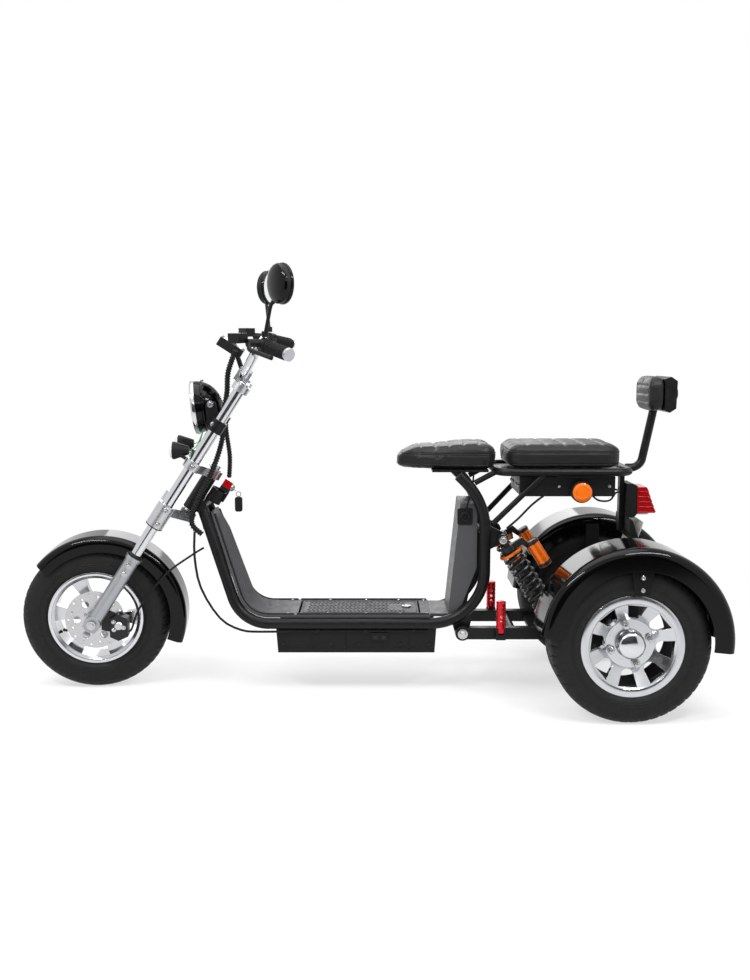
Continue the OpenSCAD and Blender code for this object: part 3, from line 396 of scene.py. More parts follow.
def arc_box(x0, x1, y0, y1, r, steps=6):
    """Outline of a rectangle with round corners."""
    out = []
    corners = ((x1 - r, y1 - r), (x0 + r, y1 - r), (x0 + r, y0 + r), (x1 - r, y0 + r))
    for quarter, (cx, cy) in enumerate(corners):
        for k in range(steps + 1):
            a = math.radians(90 * quarter + 90 * k / steps)
            out.append((cx + r * math.cos(a), cy + r * math.sin(a)))
    return out


def hex_bolt(shape, matrix, r, h):
    shape.lathe([(r * 1.45, 0), (r * 1.45, h * 0.18), (r * 1.3, h * 0.22)], matrix, 24)
    shape.lathe([(r, h * 0.2), (r, h * 0.85), (r * 0.84, h)], matrix, 6)


def cap_screw(shape, matrix, r, h):
    head = [(r, 0), (r, h * 0.55), (r * 0.82, h * 0.92), (r * 0.52, h)]
    socket = [(r * 0.46, h * 0.5), (0, h * 0.5)]
    shape.lathe(head + socket, matrix, 16)


LEFT = Vector((0, 1, 0))
UP = Vector((0, 0, 1))
AHEAD = Vector((1, 0, 0))
BOTH = (1, -1)


def on_side(aft, y, up, side):
    """A frame on the left or right flank, facing outward."""
    return facing(at(aft, side * y, up), LEFT * side)


# Tyres: the solid's outline with ribs on the wall and cut tread


def tyre(name, node, body, matrix, half, shoulder, pitch):
    bead = half - 12 if half > 60 else half - 16
    wall = [(RIM_R + 0.4, bead + 2), (RIM_R + 4, half - 8), (RIM_R + 10, half - 3),
            (RIM_R + 16, half - 0.8)]
    for r in (RIM_R + 19, RIM_R + 25):
        wall += [(r, half - 0.8), (r + 0.7, half), (r + 2.2, half), (r + 3, half - 0.8)]
    steps = 14
    bow = [(TYRE_R - shoulder + shoulder * math.sin(math.pi / 2 * k / steps),
            half - shoulder + shoulder * math.cos(math.pi / 2 * k / steps)) for k in range(steps)]
    flat = half - shoulder
    rows = 13
    crown = [(TYRE_R, flat - flat * k / rows) for k in range(rows)]
    one = wall + bow + crown
    line = one + [(TYRE_R, 0.0)] + [(r, -y) for r, y in reversed(one)]
    r = np.array([p[0] for p in line])
    y = np.array([p[1] for p in line])
    around = 432
    angle = np.arange(around) * 2 * math.pi / around
    wide = half * 0.86
    side = np.abs(y) / wide
    on_tread = (r > TYRE_R - shoulder * 0.45).astype(float)
    turn = angle[:, None] * pitch / (2 * math.pi)
    wave = (turn + 0.55 * side[None, :] + 0.08 * np.sin(side * 9)[None, :]) % 1.0
    cut = (np.abs(wave - 0.5) < 0.085) & (side[None, :] > 0.26)
    ring = (np.abs(side - 0.2) < 0.045)[None, :] | (np.abs(side - 0.62) < 0.03)[None, :]
    depth = np.where(cut | ring, 3.2, 0.0) * on_tread[None, :]
    rad = (r[None, :] - depth) * MM
    local = np.stack([rad * np.cos(angle)[:, None], rad * np.sin(angle)[:, None],
                      np.broadcast_to(y * MM, rad.shape)], axis=-1).reshape(-1, 3)
    m = np.array(matrix)
    verts = local @ m[:3, :3].T + m[:3, 3]
    n = len(line)
    faces = []
    for i in range(around):
        j = (i + 1) % around
        for k in range(n - 1):
            faces.append((i * n + k, i * n + k + 1, j * n + k + 1, j * n + k))
        faces.append((i * n + n - 1, i * n, j * n, j * n + n - 1))
    shape = Shape()
    shape.verts = [tuple(v) for v in verts]
    shape.faces = faces
    obj = shape.ride(name, body, "tyre", sharp=40)
    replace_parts(obj, node)


def rear_wheel(side):
    base = Matrix.Translation(at(WHEELBASE, side * WHEEL_Y, TYRE_R))
    return base @ rot(-side * 90, "X")


tyre("front_tyre_tread", "front_tyre", "front_wheel", FRONT_WHEEL, 53, 40, 54)
tyre("rear_tyre_left_tread", "rear_tyre_left", "rear_wheel_left", rear_wheel(1), 79, 34, 48)
tyre("rear_tyre_right_tread", "rear_tyre_right", "rear_wheel_right", rear_wheel(-1), 79, 34, 48)


# Cushions

# Powers that round the sections of a cushion: the smaller, the squarer
SIDE_BOW, TOP_BOW = 0.3, 0.36


def evaluated(obj):
    return obj.evaluated_get(bpy.context.evaluated_depsgraph_get())


def coords_of(obj):
    co = np.zeros(len(obj.data.vertices) * 3)
    obj.data.vertices.foreach_get("co", co)
    return co.reshape(-1, 3)


def inflate(obj, pressure, cap):
    """Cloth under pressure for twenty frames, with each point's move capped, in millimetres."""
    rest = coords_of(obj)
    mod = obj.modifiers.new("cloth", "CLOTH")
    mod.settings.use_pressure = True
    mod.settings.uniform_pressure_force = pressure
    mod.settings.effector_weights.gravity = 0
    mod.settings.quality = 4
    mod.point_cache.frame_start = 1
    mod.point_cache.frame_end = 20
    for step in range(1, 21):
        scene.frame_set(step)
    move = coords_of(evaluated(obj)) - rest
    size = np.linalg.norm(move, axis=1, keepdims=True)
    move *= np.minimum(1, cap * MM / np.maximum(size, 1e-9))
    obj.modifiers.remove(mod)
    obj.data.vertices.foreach_set("co", (rest + move).ravel())
    obj.data.update()
    scene.frame_set(1)


def settle(obj):
    """Puts the mesh that the modifiers give in place of the object's own."""
    mesh = bpy.data.meshes.new_from_object(evaluated(obj))
    obj.modifiers.clear()
    obj.data = mesh


def soft_form(name, rows, along, voxel=5.0):
    """A closed form through rows of place, half width, low and high, with soft square sections."""
    shape = Shape()
    sides = 56
    verts = []
    for place, half, low, high in rows:
        for k in range(sides):
            a = 2 * math.pi * k / sides
            c, s = math.cos(a), math.sin(a)
            y = half * math.copysign(abs(c) ** SIDE_BOW, c)
            z = (low + high) / 2 + (high - low) / 2 * math.copysign(abs(s) ** TOP_BOW, s)
            verts.append(along(place, y, z))
    faces = [list(range(sides))[::-1], [(len(rows) - 1) * sides + k for k in range(sides)]]
    for i in range(len(rows) - 1):
        for k in range(sides):
            m = (k + 1) % sides
            faces.append([i * sides + k, i * sides + m, (i + 1) * sides + m, (i + 1) * sides + k])
    shape.add(verts, faces)
    obj = shape.make(name, "seat_cover", sharp=180)
    remesh = obj.modifiers.new("remesh", "REMESH")
    remesh.mode = "VOXEL"
    remesh.voxel_size = voxel * MM
    settle(obj)
    return obj


def refine(obj):
    sub = obj.modifiers.new("round", "SUBSURF")
    sub.levels = sub.render_levels = 1
    settle(obj)
    obj.data.shade_smooth()


def reshape(obj, rule):
    """Moves each vertex by a rule on arrays of aft, left and up in millimetres."""
    co = coords_of(obj) / MM
    aft, left, up = rule(FRONT_X - co[:, 0], co[:, 1], co[:, 2])
    new = np.stack([FRONT_X - aft, left, up], axis=1) * MM
    obj.data.vertices.foreach_set("co", new.ravel())
    obj.data.update()


def smoothstep(x, a, b):
    t = np.clip((x - a) / (b - a), 0, 1)
    return t * t * (3 - 2 * t)


def seam(obj, level, centre, reach, steps=150):
    """A piping line round a cushion at a height: rays cast inward onto it."""
    tree = evaluated(obj)
    path = []
    for k in range(steps):
        a = 2 * math.pi * k / steps
        start = at(centre + reach[0] * math.cos(a), reach[1] * math.sin(a), level)
        goal = at(centre + reach[0] * 0.35 * math.cos(a), 0, level)
        hit, place, normal, _ = tree.ray_cast(start, (goal - start).normalized())
        if hit:
            path.append(place)
    return path


# Places aft and half widths of the driver's cushion
SEAT_PLAN = [(889, 34), (893, 44), (900, 53), (915, 64), (935, 76), (960, 86), (1000, 99), (1040, 109),
             (1080, 114), (1128, 115), (1154, 107), (1165, 93), (1172, 74)]


def driver_seat():
    rows = []
    for aft, half in SEAT_PLAN:
        front = max(0, (960 - aft) / 72)
        back = max(0, (aft - 1150) / 24)
        low = 661 + 4 * front ** 2 + 10 * back ** 2
        high = 720 + 10 * min(1, max(0, (aft - 1000) / 90)) - 28 * front ** 2 - 12 * back ** 2
        rows.append((aft, half, low, high))
    seat = soft_form("driver_seat_cushion", rows, at)
    inflate(seat, 3, 4)
    refine(seat)
    channels = np.arange(962, 1145, 42)

    def sew(aft, left, up):
        top = smoothstep(up, 700, 716)
        inside = 1 - smoothstep(np.abs(left), 78, 100)
        bend = aft + 0.0011 * left ** 2
        dip = np.exp(-((bend[:, None] - channels[None, :]) / 4.2) ** 2).sum(1)
        up = up - 3.4 * dip * top * inside
        pinch = np.exp(-((up - 702) / 3.2) ** 2) * smoothstep(np.abs(left), 20, 60)
        left = left - np.sign(left) * 1.8 * pinch
        return np.clip(aft, 886, 1176), np.clip(left, -118, 118), np.clip(up, 660.3, 736)

    reshape(seat, sew)
    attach(seat, "chassis")
    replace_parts(seat, "driver_seat")
    trim = Shape()
    for level in (703, 672):
        trim.tube(seam(seat, level, 1040, (240, 220)), 1.9, 8, closed=True)
    trim.ride("driver_seat_piping", "chassis", "seat_cover", sharp=180)


def passenger_seat():
    front, back, half = 1203, 1525, 138
    rows = []
    count = 40
    for k in range(count + 1):
        t = k / count
        aft = front + (back - front) * (0.5 - 0.5 * math.cos(math.pi * t))
        edge = min(aft - front, back - aft)
        corner = 46
        draw = corner - math.sqrt(max(0, corner ** 2 - max(0, corner - edge) ** 2))
        fall = max(0, 1 - edge / 30) ** 2
        rows.append((aft, half - draw * 0.9, 668 + 5 * fall, 730 - 9 * fall))
    seat = soft_form("passenger_seat_cushion", rows, at)
    inflate(seat, 3, 4)
    refine(seat)
    channels = np.linspace(front + 55, back - 55, 5)

    def sew(aft, left, up):
        top = smoothstep(up, 708, 722)
        inside = 1 - smoothstep(np.abs(left), 100, 120)
        dip = np.exp(-((aft[:, None] - channels[None, :]) / 4.4) ** 2).sum(1)
        up = up - 3.4 * dip * top * inside
        pinch = np.exp(-((up - 711) / 3.2) ** 2)
        left = left - np.sign(left) * 2.0 * pinch * smoothstep(np.abs(left), 60, 110)
        return np.clip(aft, 1198, 1530), np.clip(left, -141, 141), np.clip(up, 666.6, 738)

    reshape(seat, sew)
    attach(seat, "chassis")
    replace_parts(seat, "passenger_seat")
    trim = Shape()
    for level in (712, 676):
        trim.tube(seam(seat, level, (front + back) / 2, (300, 260)), 2.1, 8, closed=True)
    trim.ride("passenger_seat_piping", "chassis", "seat_cover", sharp=180)


def backrest():
    rows = []
    count = 26
    for k in range(count + 1):
        t = k / count
        up = 826 + 94 * (0.5 - 0.5 * math.cos(math.pi * t))
        edge = min(up - 826, 920 - up)
        draw = 30 - math.sqrt(max(0, 900 - max(0, 30 - edge) ** 2))
        fall = max(0, 1 - edge / 26) ** 2
        rows.append((up, 87 - draw * 0.8, 1605 + 9 * fall, 1649 - 2 * fall))
    pad = soft_form("backrest_cushion", rows, lambda up, y, aft: at(aft, y, up))
    inflate(pad, 3, 3)
    refine(pad)
    channels = np.array([850.0, 873.0, 896.0])

    def sew(aft, left, up):
        front = 1 - smoothstep(aft, 1612, 1622)
        inside = 1 - smoothstep(np.abs(left), 58, 72)
        dip = np.exp(-((up[:, None] - channels[None, :]) / 3.6) ** 2).sum(1)
        aft = aft + 3.6 * dip * front * inside
        return np.clip(aft, 1600, 1651.2), np.clip(left, -91, 91), np.clip(up, 822, 924)

    reshape(pad, sew)
    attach(pad, "chassis")
    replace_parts(pad, "backrest_pad")


driver_seat()
passenger_seat()
backrest()


# Looms, hose and cable, along the routes of the solids

LOOM_A = [(432, 76, 996), (408, 56, 935), (402, 44, 880), (392, 40, 820), (386, 50, 740), (360, 72, 655),
          (320, 78, 576), (298, 78, 505), (327, 74, 468)]
LOOM_B = [(396, 20, 830), (394, 18, 770), (402, 10, 690), (397.7, 0, 624.8)]
FRONT_HOSE = [(104.7, 66, 178), (114, 68, 188), (142, 76, 254), (218, 78, 350), (296, 78, 408),
              (336, 74, 432)]
CORRUGATION = 8


def conduit(shape, route, r, pitch):
    path = even(spline([at(*p) for p in route], 24), pitch / 4)
    shape.tube(path, [r * (1.06, 1.06, 0.8, 0.8)[i % 4] for i in range(len(path))], 14)


loom = Shape()
conduit(loom, LOOM_A, 8, CORRUGATION)
conduit(loom, LOOM_B, 7, CORRUGATION)
looms = loom.make("corrugated_looms", "rubber_black", sharp=60)
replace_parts(looms, "steering_looms")
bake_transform(looms)

hose = Shape()
hose_path = even(spline([at(*p) for p in FRONT_HOSE], 16), 6)
hose.tube(hose_path, 3, 10)
hoses = hose.make("front_brake_hose", "rubber_black", sharp=60)
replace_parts(hoses, "brake_hose")
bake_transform(hoses)


# Floor: ribbed skin, edging, hatch chevrons and screws

LEG_BEND = (518.7, 319.8)
LEG_ANGLE = math.radians(19.04)
BEND_R = 83.4
LEG_LENGTH = 254.0
FLOOR_HALF, NECK_HALF = 96, 48
HATCH_FRONT, HATCH_LENGTH = 607, 348


def panel_point(k, share, lift):
    """A place on the rider's side of the leg panel and floor; k runs from the top down to the hatch."""
    r = BEND_R - lift
    if k <= 12:
        up = (LEG_LENGTH - 8) * (1 - k / 12)
        half = FLOOR_HALF - (FLOOR_HALF - NECK_HALF) * up / LEG_LENGTH
        aft = LEG_BEND[0] - r * math.cos(LEG_ANGLE) - up * math.sin(LEG_ANGLE)
        return at(aft, share * half, LEG_BEND[1] - r * math.sin(LEG_ANGLE) + up * math.cos(LEG_ANGLE))
    if k <= 22:
        a = LEG_ANGLE + (math.pi / 2 - LEG_ANGLE) * (k - 12) / 10
        return at(LEG_BEND[0] - r * math.cos(a), share * FLOOR_HALF, LEG_BEND[1] - r * math.sin(a))
    return at(592, share * FLOOR_HALF, FLOOR_TOP + lift)


COLUMNS, ROWS = 73, 24
SKIN_HALF = 0.93
CROWN, RIB, RIB_PITCH = 17, 1.9, 0.155
skin = Shape()
rows = []
for k in range(ROWS):
    swell = min(1, 0.3 + k / 4) * (1 if k < 13 else max(0.06, 1 - (k - 13) / 9))
    for j in range(COLUMNS):
        share = -SKIN_HALF + 2 * SKIN_HALF * j / (COLUMNS - 1)
        rib = RIB * max(0, math.cos(2 * math.pi * share / RIB_PITCH))
        lift = swell * CROWN * (1 - (share / SKIN_HALF) ** 2) + rib + 0.3
        if j in (0, COLUMNS - 1) or k in (0, ROWS - 1):
            lift = -0.4
        rows.append(panel_point(k, share, lift))
skin.add(rows, [[k * COLUMNS + j, (k + 1) * COLUMNS + j, (k + 1) * COLUMNS + j + 1, k * COLUMNS + j + 1]
                for k in range(ROWS - 1) for j in range(COLUMNS - 1)])
skin.ride("leg_panel_skin", "chassis", "panel_grey", sharp=30)

edges = Shape()
for side in BOTH:
    edges.tube([panel_point(k, side * 0.97, 1.0) for k in range(ROWS)], 3.2, 8)
    edges.tube([at(aft, side * 93, FLOOR_TOP + 1) for aft in (600, 800, 984)], 3.2, 8)
edges.ride("floor_edging", "chassis", "box_black", "panel_grey", 60)

CHEVRON = ((0, -15.5), (9, 0), (0, 15.5))
chevrons = Shape()
for row in range(24):
    for lane in range(4):
        aft, left = 630 + 12 * row, -52.5 + 35 * lane
        if row > 19 and lane in (1, 2):
            continue
        chevrons.tube([at(aft + step, left + y, FLOOR_TOP) for step, y in CHEVRON], 1.8, 6)
chevrons.tube([at(x, y, FLOOR_TOP) for x, y in arc_box(614, 950, -71, 71, 10)], 1.6, 6, closed=True)
chevrons.ride("hatch_chevrons", "hatch", "panel_grey", sharp=60)

lock = Shape()
lock_frame = facing(at(HATCH_FRONT + HATCH_LENGTH - 34, 0, FLOOR_TOP + 2.4), UP)
lock.lathe([(13.6, -1), (13.6, 1.6), (12, 2.6), (9.5, 2.6), (8.5, 1.2), (0, 1.0)], lock_frame, 32)
lock.plate([(-1, -4), (1, -4), (1, 4), (-1, 4)], 1.0, 1.8, lock_frame)
lock.ride("hatch_lock", "hatch", "steel")

screws = Shape()
for aft in (574, 690, 800, 900, 976):
    for side in BOTH:
        cap_screw(screws, facing(at(aft, side * 86, FLOOR_TOP), UP), 4.2, 3)
screws.ride("floor_screws", "chassis", "steel")


# Battery box, seat riser and their small fittings

BOX_Y = 99
box_trim = Shape()
for side in BOTH:
    for aft in (560, 700, 780, 900, 985):
        cap_screw(box_trim, on_side(aft, BOX_Y, 150, side), 4, 3.2)
for aft in (828, 852):
    hex_bolt(box_trim, facing(at(aft, 105, 172), LEFT), 5, 5)
box_trim.ride("battery_box_screws", "chassis", "dark_metal", "box_black")

seams = Shape()
for side in BOTH:
    y = side * BOX_Y
    seams.tube([at(aft, y, 141) for aft in (545, 775, 1000)], 1.4, 6)
    for aft in (642, 742, 926):
        seams.tube([at(aft, y, up) for up in (128, 160, 192)], 1.6, 6)
seams.ride("battery_box_ribs", "chassis", "box_black", sharp=60)

port = Shape()
port_frame = facing(at(1086, 82.4, 522), LEFT)
port.plate(arc_box(-22, 22, -24, 24, 6), -2, 3, port_frame, 1)
port.lathe([(15, 2), (15, 10), (13, 12), (9, 12), (8, 6), (0, 6)], port_frame, 28)
port.ride("riser_socket", "chassis", "box_black")
lead = Shape()
lead.tube(spline([at(1086, 90, 524), at(1092, 96, 560), at(1104, 92, 600), at(1110, 78, 640)], 10), 2.6, 8)
lead.ride("riser_lead", "chassis", "rubber_black", sharp=60)

clips = Shape()
for aft in (660, 800, 940):
    clips.lathe([(5.4, -4), (5.8, -3), (5.8, 3), (5.4, 4)], facing(at(aft, 103.2, 189), AHEAD), 16)
clips.ride("cable_clips", "chassis", "box_black")


# Fork, yokes and handlebar fittings


def fork_frame(ahead, left, up, normal):
    """A frame on the fork with Z along a normal given in the fork's own axes."""
    place = FORK @ (Vector((ahead, left, up)) * MM)
    return facing(place, (FORK.to_3x3() @ normal).normalized())


FORK_UP = Vector((0, 0, 1))
fork_bolts = Shape()
for side in BOTH:
    out = Vector((0, side, 0))
    for up in (356, 401):
        hex_bolt(fork_bolts, fork_frame(-6, side * (LEG_Y + 25.4), up, out), 5.4, 6)
    hex_bolt(fork_bolts, fork_frame(-4, side * (LEG_Y + 24.4), 550, out), 5.4, 6)
    hex_bolt(fork_bolts, fork_frame(0, side * LEG_Y, 824, FORK_UP), 9, 5)
    for up in (180, 206):
        hex_bolt(fork_bolts, fork_frame(0, side * (LEG_Y + 20.6), up, out), 6, 6)
    hex_bolt(fork_bolts, fork_frame(14, side * (LEG_Y + 18), 683, out), 4.4, 5)
    hex_bolt(fork_bolts, fork_frame(49, side * (LEG_Y - 3), 725, out), 6.4, 6)
    for y in (-33, -23, 23, 33):
        cap_screw(fork_bolts, fork_frame(-2 if side > 0 else 28, y, 856.6, FORK_UP), 3.2, 3)
hex_bolt(fork_bolts, fork_frame(-FORK_OFFSET, 0, 563, FORK_UP), 15, 10)
fork_bolts.ride("fork_bolts", "steering", "steel")

seals = Shape()
for side in BOTH:
    seal = FORK @ shift(0, side * LEG_Y, 0)
    seals.lathe([(21, 233.6), (22.5, 235), (22.5, 238), (19, 241), (17, 244), (16.6, 244)],
                seal, 40, ring=True)
    seals.lathe([(24.2, 338.6), (26.6, 340), (26.6, 342), (24, 343)], seal, 40, ring=True)
seals.ride("fork_seals", "steering", "rubber_black")

tops = Shape()
for side in BOTH:
    top = FORK @ shift(0, side * LEG_Y, 0)
    tops.lathe([(16.6, 822), (16.6, 826), (14, 829), (0, 830)], top, 32)
tops.ride("fork_caps", "steering", "bright_chrome")

# The middle of the bar, along the fork line and ahead of it
BAR_UP, BAR_AHEAD = 839, 13
BAR_MID = (BAR_UP * math.sin(RAKE) - BAR_AHEAD * math.cos(RAKE),
           TYRE_R + BAR_UP * math.cos(RAKE) + BAR_AHEAD * math.sin(RAKE))
GRIP_A = Vector((BAR_MID[0] + 54, 215, BAR_MID[1] + 98))
GRIP_B = Vector((BAR_MID[0] + 132, 342, BAR_MID[1] + 76))
GRIP_DIR = (GRIP_B - GRIP_A).normalized()


def on_grip(t, side):
    p = GRIP_A + GRIP_DIR * t
    return turned(p.x, side * p.y, p.z)


def grip_frame(t, side):
    return facing(on_grip(t, side), (on_grip(t + 10, side) - on_grip(t, side)).normalized())


GRIP_RIB = [(16.8, -1.7), (18.2, -0.9), (18.2, 0.9), (16.8, 1.7)]
grip_ribs = Shape()
ends = Shape()
for side in BOTH:
    for k in range(17):
        grip_ribs.lathe(GRIP_RIB, grip_frame(52 + 5.6 * k, side), 28)
    grip_ribs.lathe([(17, 0), (21, 0.6), (21.5, 2.5), (20, 4.5), (17, 5)], grip_frame(45, side), 32)
    ends.lathe([(17.6, 0), (17.6, 4.5), (15.5, 6.5), (8, 7.4), (0, 7.6)], grip_frame(150.6, side), 32)
grip_ribs.ride("grip_ribs", "steering", "rubber_black")
ends.ride("grip_ends", "steering", "alloy")

switches = Shape()
for side in BOTH:
    for k, size in ((0, 5), (1, 4), (2, 4)):
        place = on_grip(24 + 8 * k, side) + Vector((-0.019, 0, 0.009))
        aim = facing(place, Vector((-0.9, 0, 0.4)))
        switches.lathe([(size, -2), (size, 3), (size * 0.7, 4.4), (0, 4.6)], aim, 20)
switches.ride("switch_buttons", "steering", "box_black")

MIRROR = GRIP_A + GRIP_DIR * 31 + Vector((0, 0, 23))
LEAN = {1: Vector((45, 54, 140)), -1: Vector((0, 54, 136))}
backs = Shape()
for side in BOTH:
    spot = MIRROR + LEAN[side]
    base = STEERED @ Matrix.Translation(at(spot.x, side * spot.y, spot.z))
    head = base @ rot(side * 30, "Z") @ rot(-90, "Y")
    dome = [(51.8 * math.cos(a), -10 - 16 * math.sin(a)) for a in [math.pi / 2 * k / 10 for k in range(10)]]
    backs.lathe([(46, -8), (51.8, -9)] + dome + [(0, -26)], head, 56)
    backs.lathe([(53, 1), (54, 3), (54, 7), (52.5, 9.5), (48.4, 9.5), (48.2, 8)], head, 56, ring=True)
backs.ride("mirror_backs", "steering", "fender_black", "box_black", 50)

dash = Shape()
dash_frame = STEERED @ Matrix.Translation(at(410, 0, BAR_MID[1] + 80)) @ rot(-33, "Y")
dash.plate(arc_box(-30, 30, -44, 44, 6), 13.6, 14.8, dash_frame, 0.6)
dash.ride("display_screen", "steering", "screen", "box_black")


# Headlamp and front indicators

LAMP = STEERED @ Matrix.Translation(at(323, 0, 836)) @ rot(96, "Y")
bowl = Shape()
dish = []
for k in range(13):
    a = math.pi / 2 * k / 12
    dish.append((8 + 58 * math.sin(a), -36 + 50 * (1 - math.cos(a))))
bowl.lathe([(66.5, 15), (66.5, 14)] + dish[::-1] + [(0, -36)], LAMP, 64)
bowl.ride("lamp_reflector", "steering", "bright_chrome", sharp=60)
bulb = Shape()
bulb.lathe([(9, -34), (9, -22), (7, -20), (7, -4), (5, 0), (0, 1)], LAMP, 24)
bulb.ride("lamp_bulb", "steering", "clear_glass")
bead = Shape()
bead.lathe([(75, 12), (79.2, 12.6), (80, 15), (80, 20), (78, 24.6), (72, 26), (69.2, 25), (69, 22)],
           LAMP, 72, ring=True)
bead.ride("lamp_bezel", "steering", "bright_chrome", sharp=50)
visor = Shape()
visor.lathe([(76.6, -12), (77.4, -11), (77.4, -7), (76.6, -6)], LAMP, 64, ring=True)
visor.ride("lamp_band", "steering", "fender_black")

INDICATOR = (244, 74, 717)
domes = Shape()
collars = Shape()
for side in BOTH:
    aft, left, up = INDICATOR
    place = facing(turned(aft, side * left, up), turned(0, 0, 0) - turned(10, 0, 0))
    bow = [(22.4 * math.cos(a), 2 + 9 * math.sin(a)) for a in [math.pi / 2 * k / 8 for k in range(1, 8)]]
    domes.lathe([(22.4, -0.4), (22.4, 2)] + bow + [(0, 11)], place, 40)
    collars.lathe([(24.2, -8), (25.4, -6), (25.4, 0), (23, 1.4)], place, 40, ring=True)
domes.ride("indicator_lenses", "steering", "clear_lens", "clear_glass", 60)
collars.ride("indicator_collars", "steering", "box_black")

WIRES = [
    ("wire_green", [(292, 70, 717), (306, 60, 722), (318, 52, 742), (330, 44, 776), (336, 30, 806)]),
    ("wire_green", [(292, 74, 712), (304, 66, 702), (312, 56, 716), (322, 40, 748), (332, 20, 790)]),
    ("wire_white", [(292, -72, 717), (308, -56, 728), (322, -36, 760), (334, -14, 800)]),
    ("rubber_black", [(338, 22, 836), (366, 34, 846), (388, 36, 812), (390, 38, 770)]),
]
for index, (finish, route) in enumerate(WIRES):
    wire = Shape()
    wire.tube(spline([turned(*p) for p in route], 10), 1.6 if finish != "rubber_black" else 4.0, 8)
    wire.ride(f"lamp_wire_{index}", "steering", finish, "rubber_black", 60)


# Front wheel, brake and axle

disc_bolts = Shape()
for k in range(6):
    a = math.radians(30 + 60 * k)
    cap_screw(disc_bolts, FRONT_WHEEL @ shift(31 * math.cos(a), 31 * math.sin(a), 56.2), 4.4, 4)
disc_bolts.lathe([(40, 52), (40, 53.6), (24, 57.6), (18, 58), (17, 57)], FRONT_WHEEL, 40, ring=True)
disc_bolts.ride("disc_bolts", "front_wheel", "steel")

WHEELS = ((FRONT_WHEEL, "front_wheel"), (rear_wheel(1), "rear_wheel_left"),
          (rear_wheel(-1), "rear_wheel_right"))
for matrix, body in WHEELS:
    stem = Shape()
    between, height = (25.6, -4) if body == "front_wheel" else (0, 40)
    spot = matrix @ rot(between, "Z") @ shift(112, 0, height)
    spot = spot @ rot(-30, "Y")
    stem.lathe([(5, -6), (4, -2), (3, 4), (3, 16), (4, 17), (4, 24), (3, 26), (0, 26)], spot, 16)
    stem.ride(f"{body}_valve", body, "rubber_black")

lips = Shape()
lips.lathe([(RIM_R - 10, 41.6), (RIM_R - 6, 42.4), (RIM_R - 1, 42.6), (RIM_R + 0.6, 41.6), (RIM_R + 0.4, 40)],
           FRONT_WHEEL, 96, ring=True)
lips.ride("front_rim_lip", "front_wheel", "bright_chrome", "alloy", 50)

OUTWARD = STEERED.to_3x3() @ LEFT
caliper = Shape()
for aft, up in ((58, 190), (58, 214), (86, 196)):
    hex_bolt(caliper, facing(turned(aft, 80, up), OUTWARD), 4.6, 5)
caliper.lathe([(13, 0), (13, 4), (10, 7), (0, 7.4)], facing(turned(72, 80, 202), OUTWARD), 28)
caliper.ride("caliper_bolts", "steering", "steel")


# Rear wheels: caps, lug details and lips

for side, body in ((1, "rear_wheel_left"), (-1, "rear_wheel_right")):
    wheel = rear_wheel(side)
    cap = Shape()
    cap.lathe([(36, 63), (35, 65), (28, 69), (14, 72), (0, 72.6)], wheel, 56)
    cap.lathe([(38.5, 38.4), (39.6, 40), (38.6, 43), (37.2, 44)], wheel, 56, ring=True)
    cap.ride(f"{body}_cap", body, "bright_chrome", sharp=50)
    lugs = Shape()
    for k in range(4):
        spot = wheel @ rot(17 + 90 * k, "Z") @ shift(55, 0, 0)
        lugs.lathe([(9.4, 50), (9.4, 56), (7.6, 60), (4, 62), (0, 62.4)], spot, 6)
        lugs.lathe([(12.4, 38.1), (12.4, 39.6), (11, 40.4)], spot, 24)
    lugs.ride(f"{body}_lugs", body, "steel")
    lip = Shape()
    lip.lathe([(RIM_R - 21, 70.6), (RIM_R - 19, 71.6), (RIM_R - 2, 71.8), (RIM_R + 0.6, 70.6),
               (RIM_R + 0.4, 68)], wheel, 96, ring=True)
    lip.ride(f"{body}_lip", body, "machined", "alloy", 50)
    barrel = Shape()
    barrel.lathe([(119.5, -58), (119.5, 44), (117.5, 44), (117.5, -58)], wheel, 64, ring=True)
    barrel.ride(f"{body}_barrel", body, "dark_metal", "alloy", 60)


# Shocks, footpegs and swingarm fittings

SHOCK_TOP = (1193, 460)
SHOCK_LOW = (1342, 226)
TILT = math.atan2(SHOCK_LOW[0] - SHOCK_TOP[0], SHOCK_TOP[1] - SHOCK_LOW[1])
RESERVOIR_ARM = [(21.6, 24), (21.6, 42), (38, 42), (50, 67), (66, 67), (66, 51), (56, 46), (49, 24)]
shock_rings = Shape()
shock_caps = Shape()
for side in BOTH:
    eye = at(SHOCK_TOP[0], side * 104, SHOCK_TOP[1])
    shock = Matrix.Translation(eye) @ Matrix.Rotation(math.pi + TILT, 4, "Y")
    shock_rings.lathe([(33, 42), (36, 43), (36.4, 47), (35.6, 50.2), (33, 50.4)], shock, 48, ring=True)
    shock_rings.lathe([(17, 62), (18.4, 63), (18.4, 70), (17, 71)], shock, 40, ring=True)
    can = shock @ shift(66, 0, 34)
    arm = shock @ rot(90, "X")
    shock_caps.plate(RESERVOIR_ARM, -7, 7, arm)
    shock_caps.lathe([(19.2, 14), (20, 15), (20, 22), (19.2, 23)], can, 40, ring=True)
    shock_caps.lathe([(19.2, 84), (20, 85), (20, 94), (16, 98), (0, 98.4)], can, 40)
    shock_caps.lathe([(0, 13), (12, 13.4), (16, 15.6)], can, 40)
shock_rings.ride("shock_rings", "chassis", "orange_metal")
shock_caps.ride("reservoir_caps", "chassis", "dark_metal")

pins = Shape()
for side in BOTH:
    hex_bolt(pins, on_side(SHOCK_TOP[0], 122, SHOCK_TOP[1], side), 8, 7)
    hex_bolt(pins, on_side(SHOCK_LOW[0], 121, SHOCK_LOW[1], side), 8, 7)
    hex_bolt(pins, on_side(1080, 122, 185, side), 10, 8)
pins.ride("suspension_bolts", "chassis", "steel")

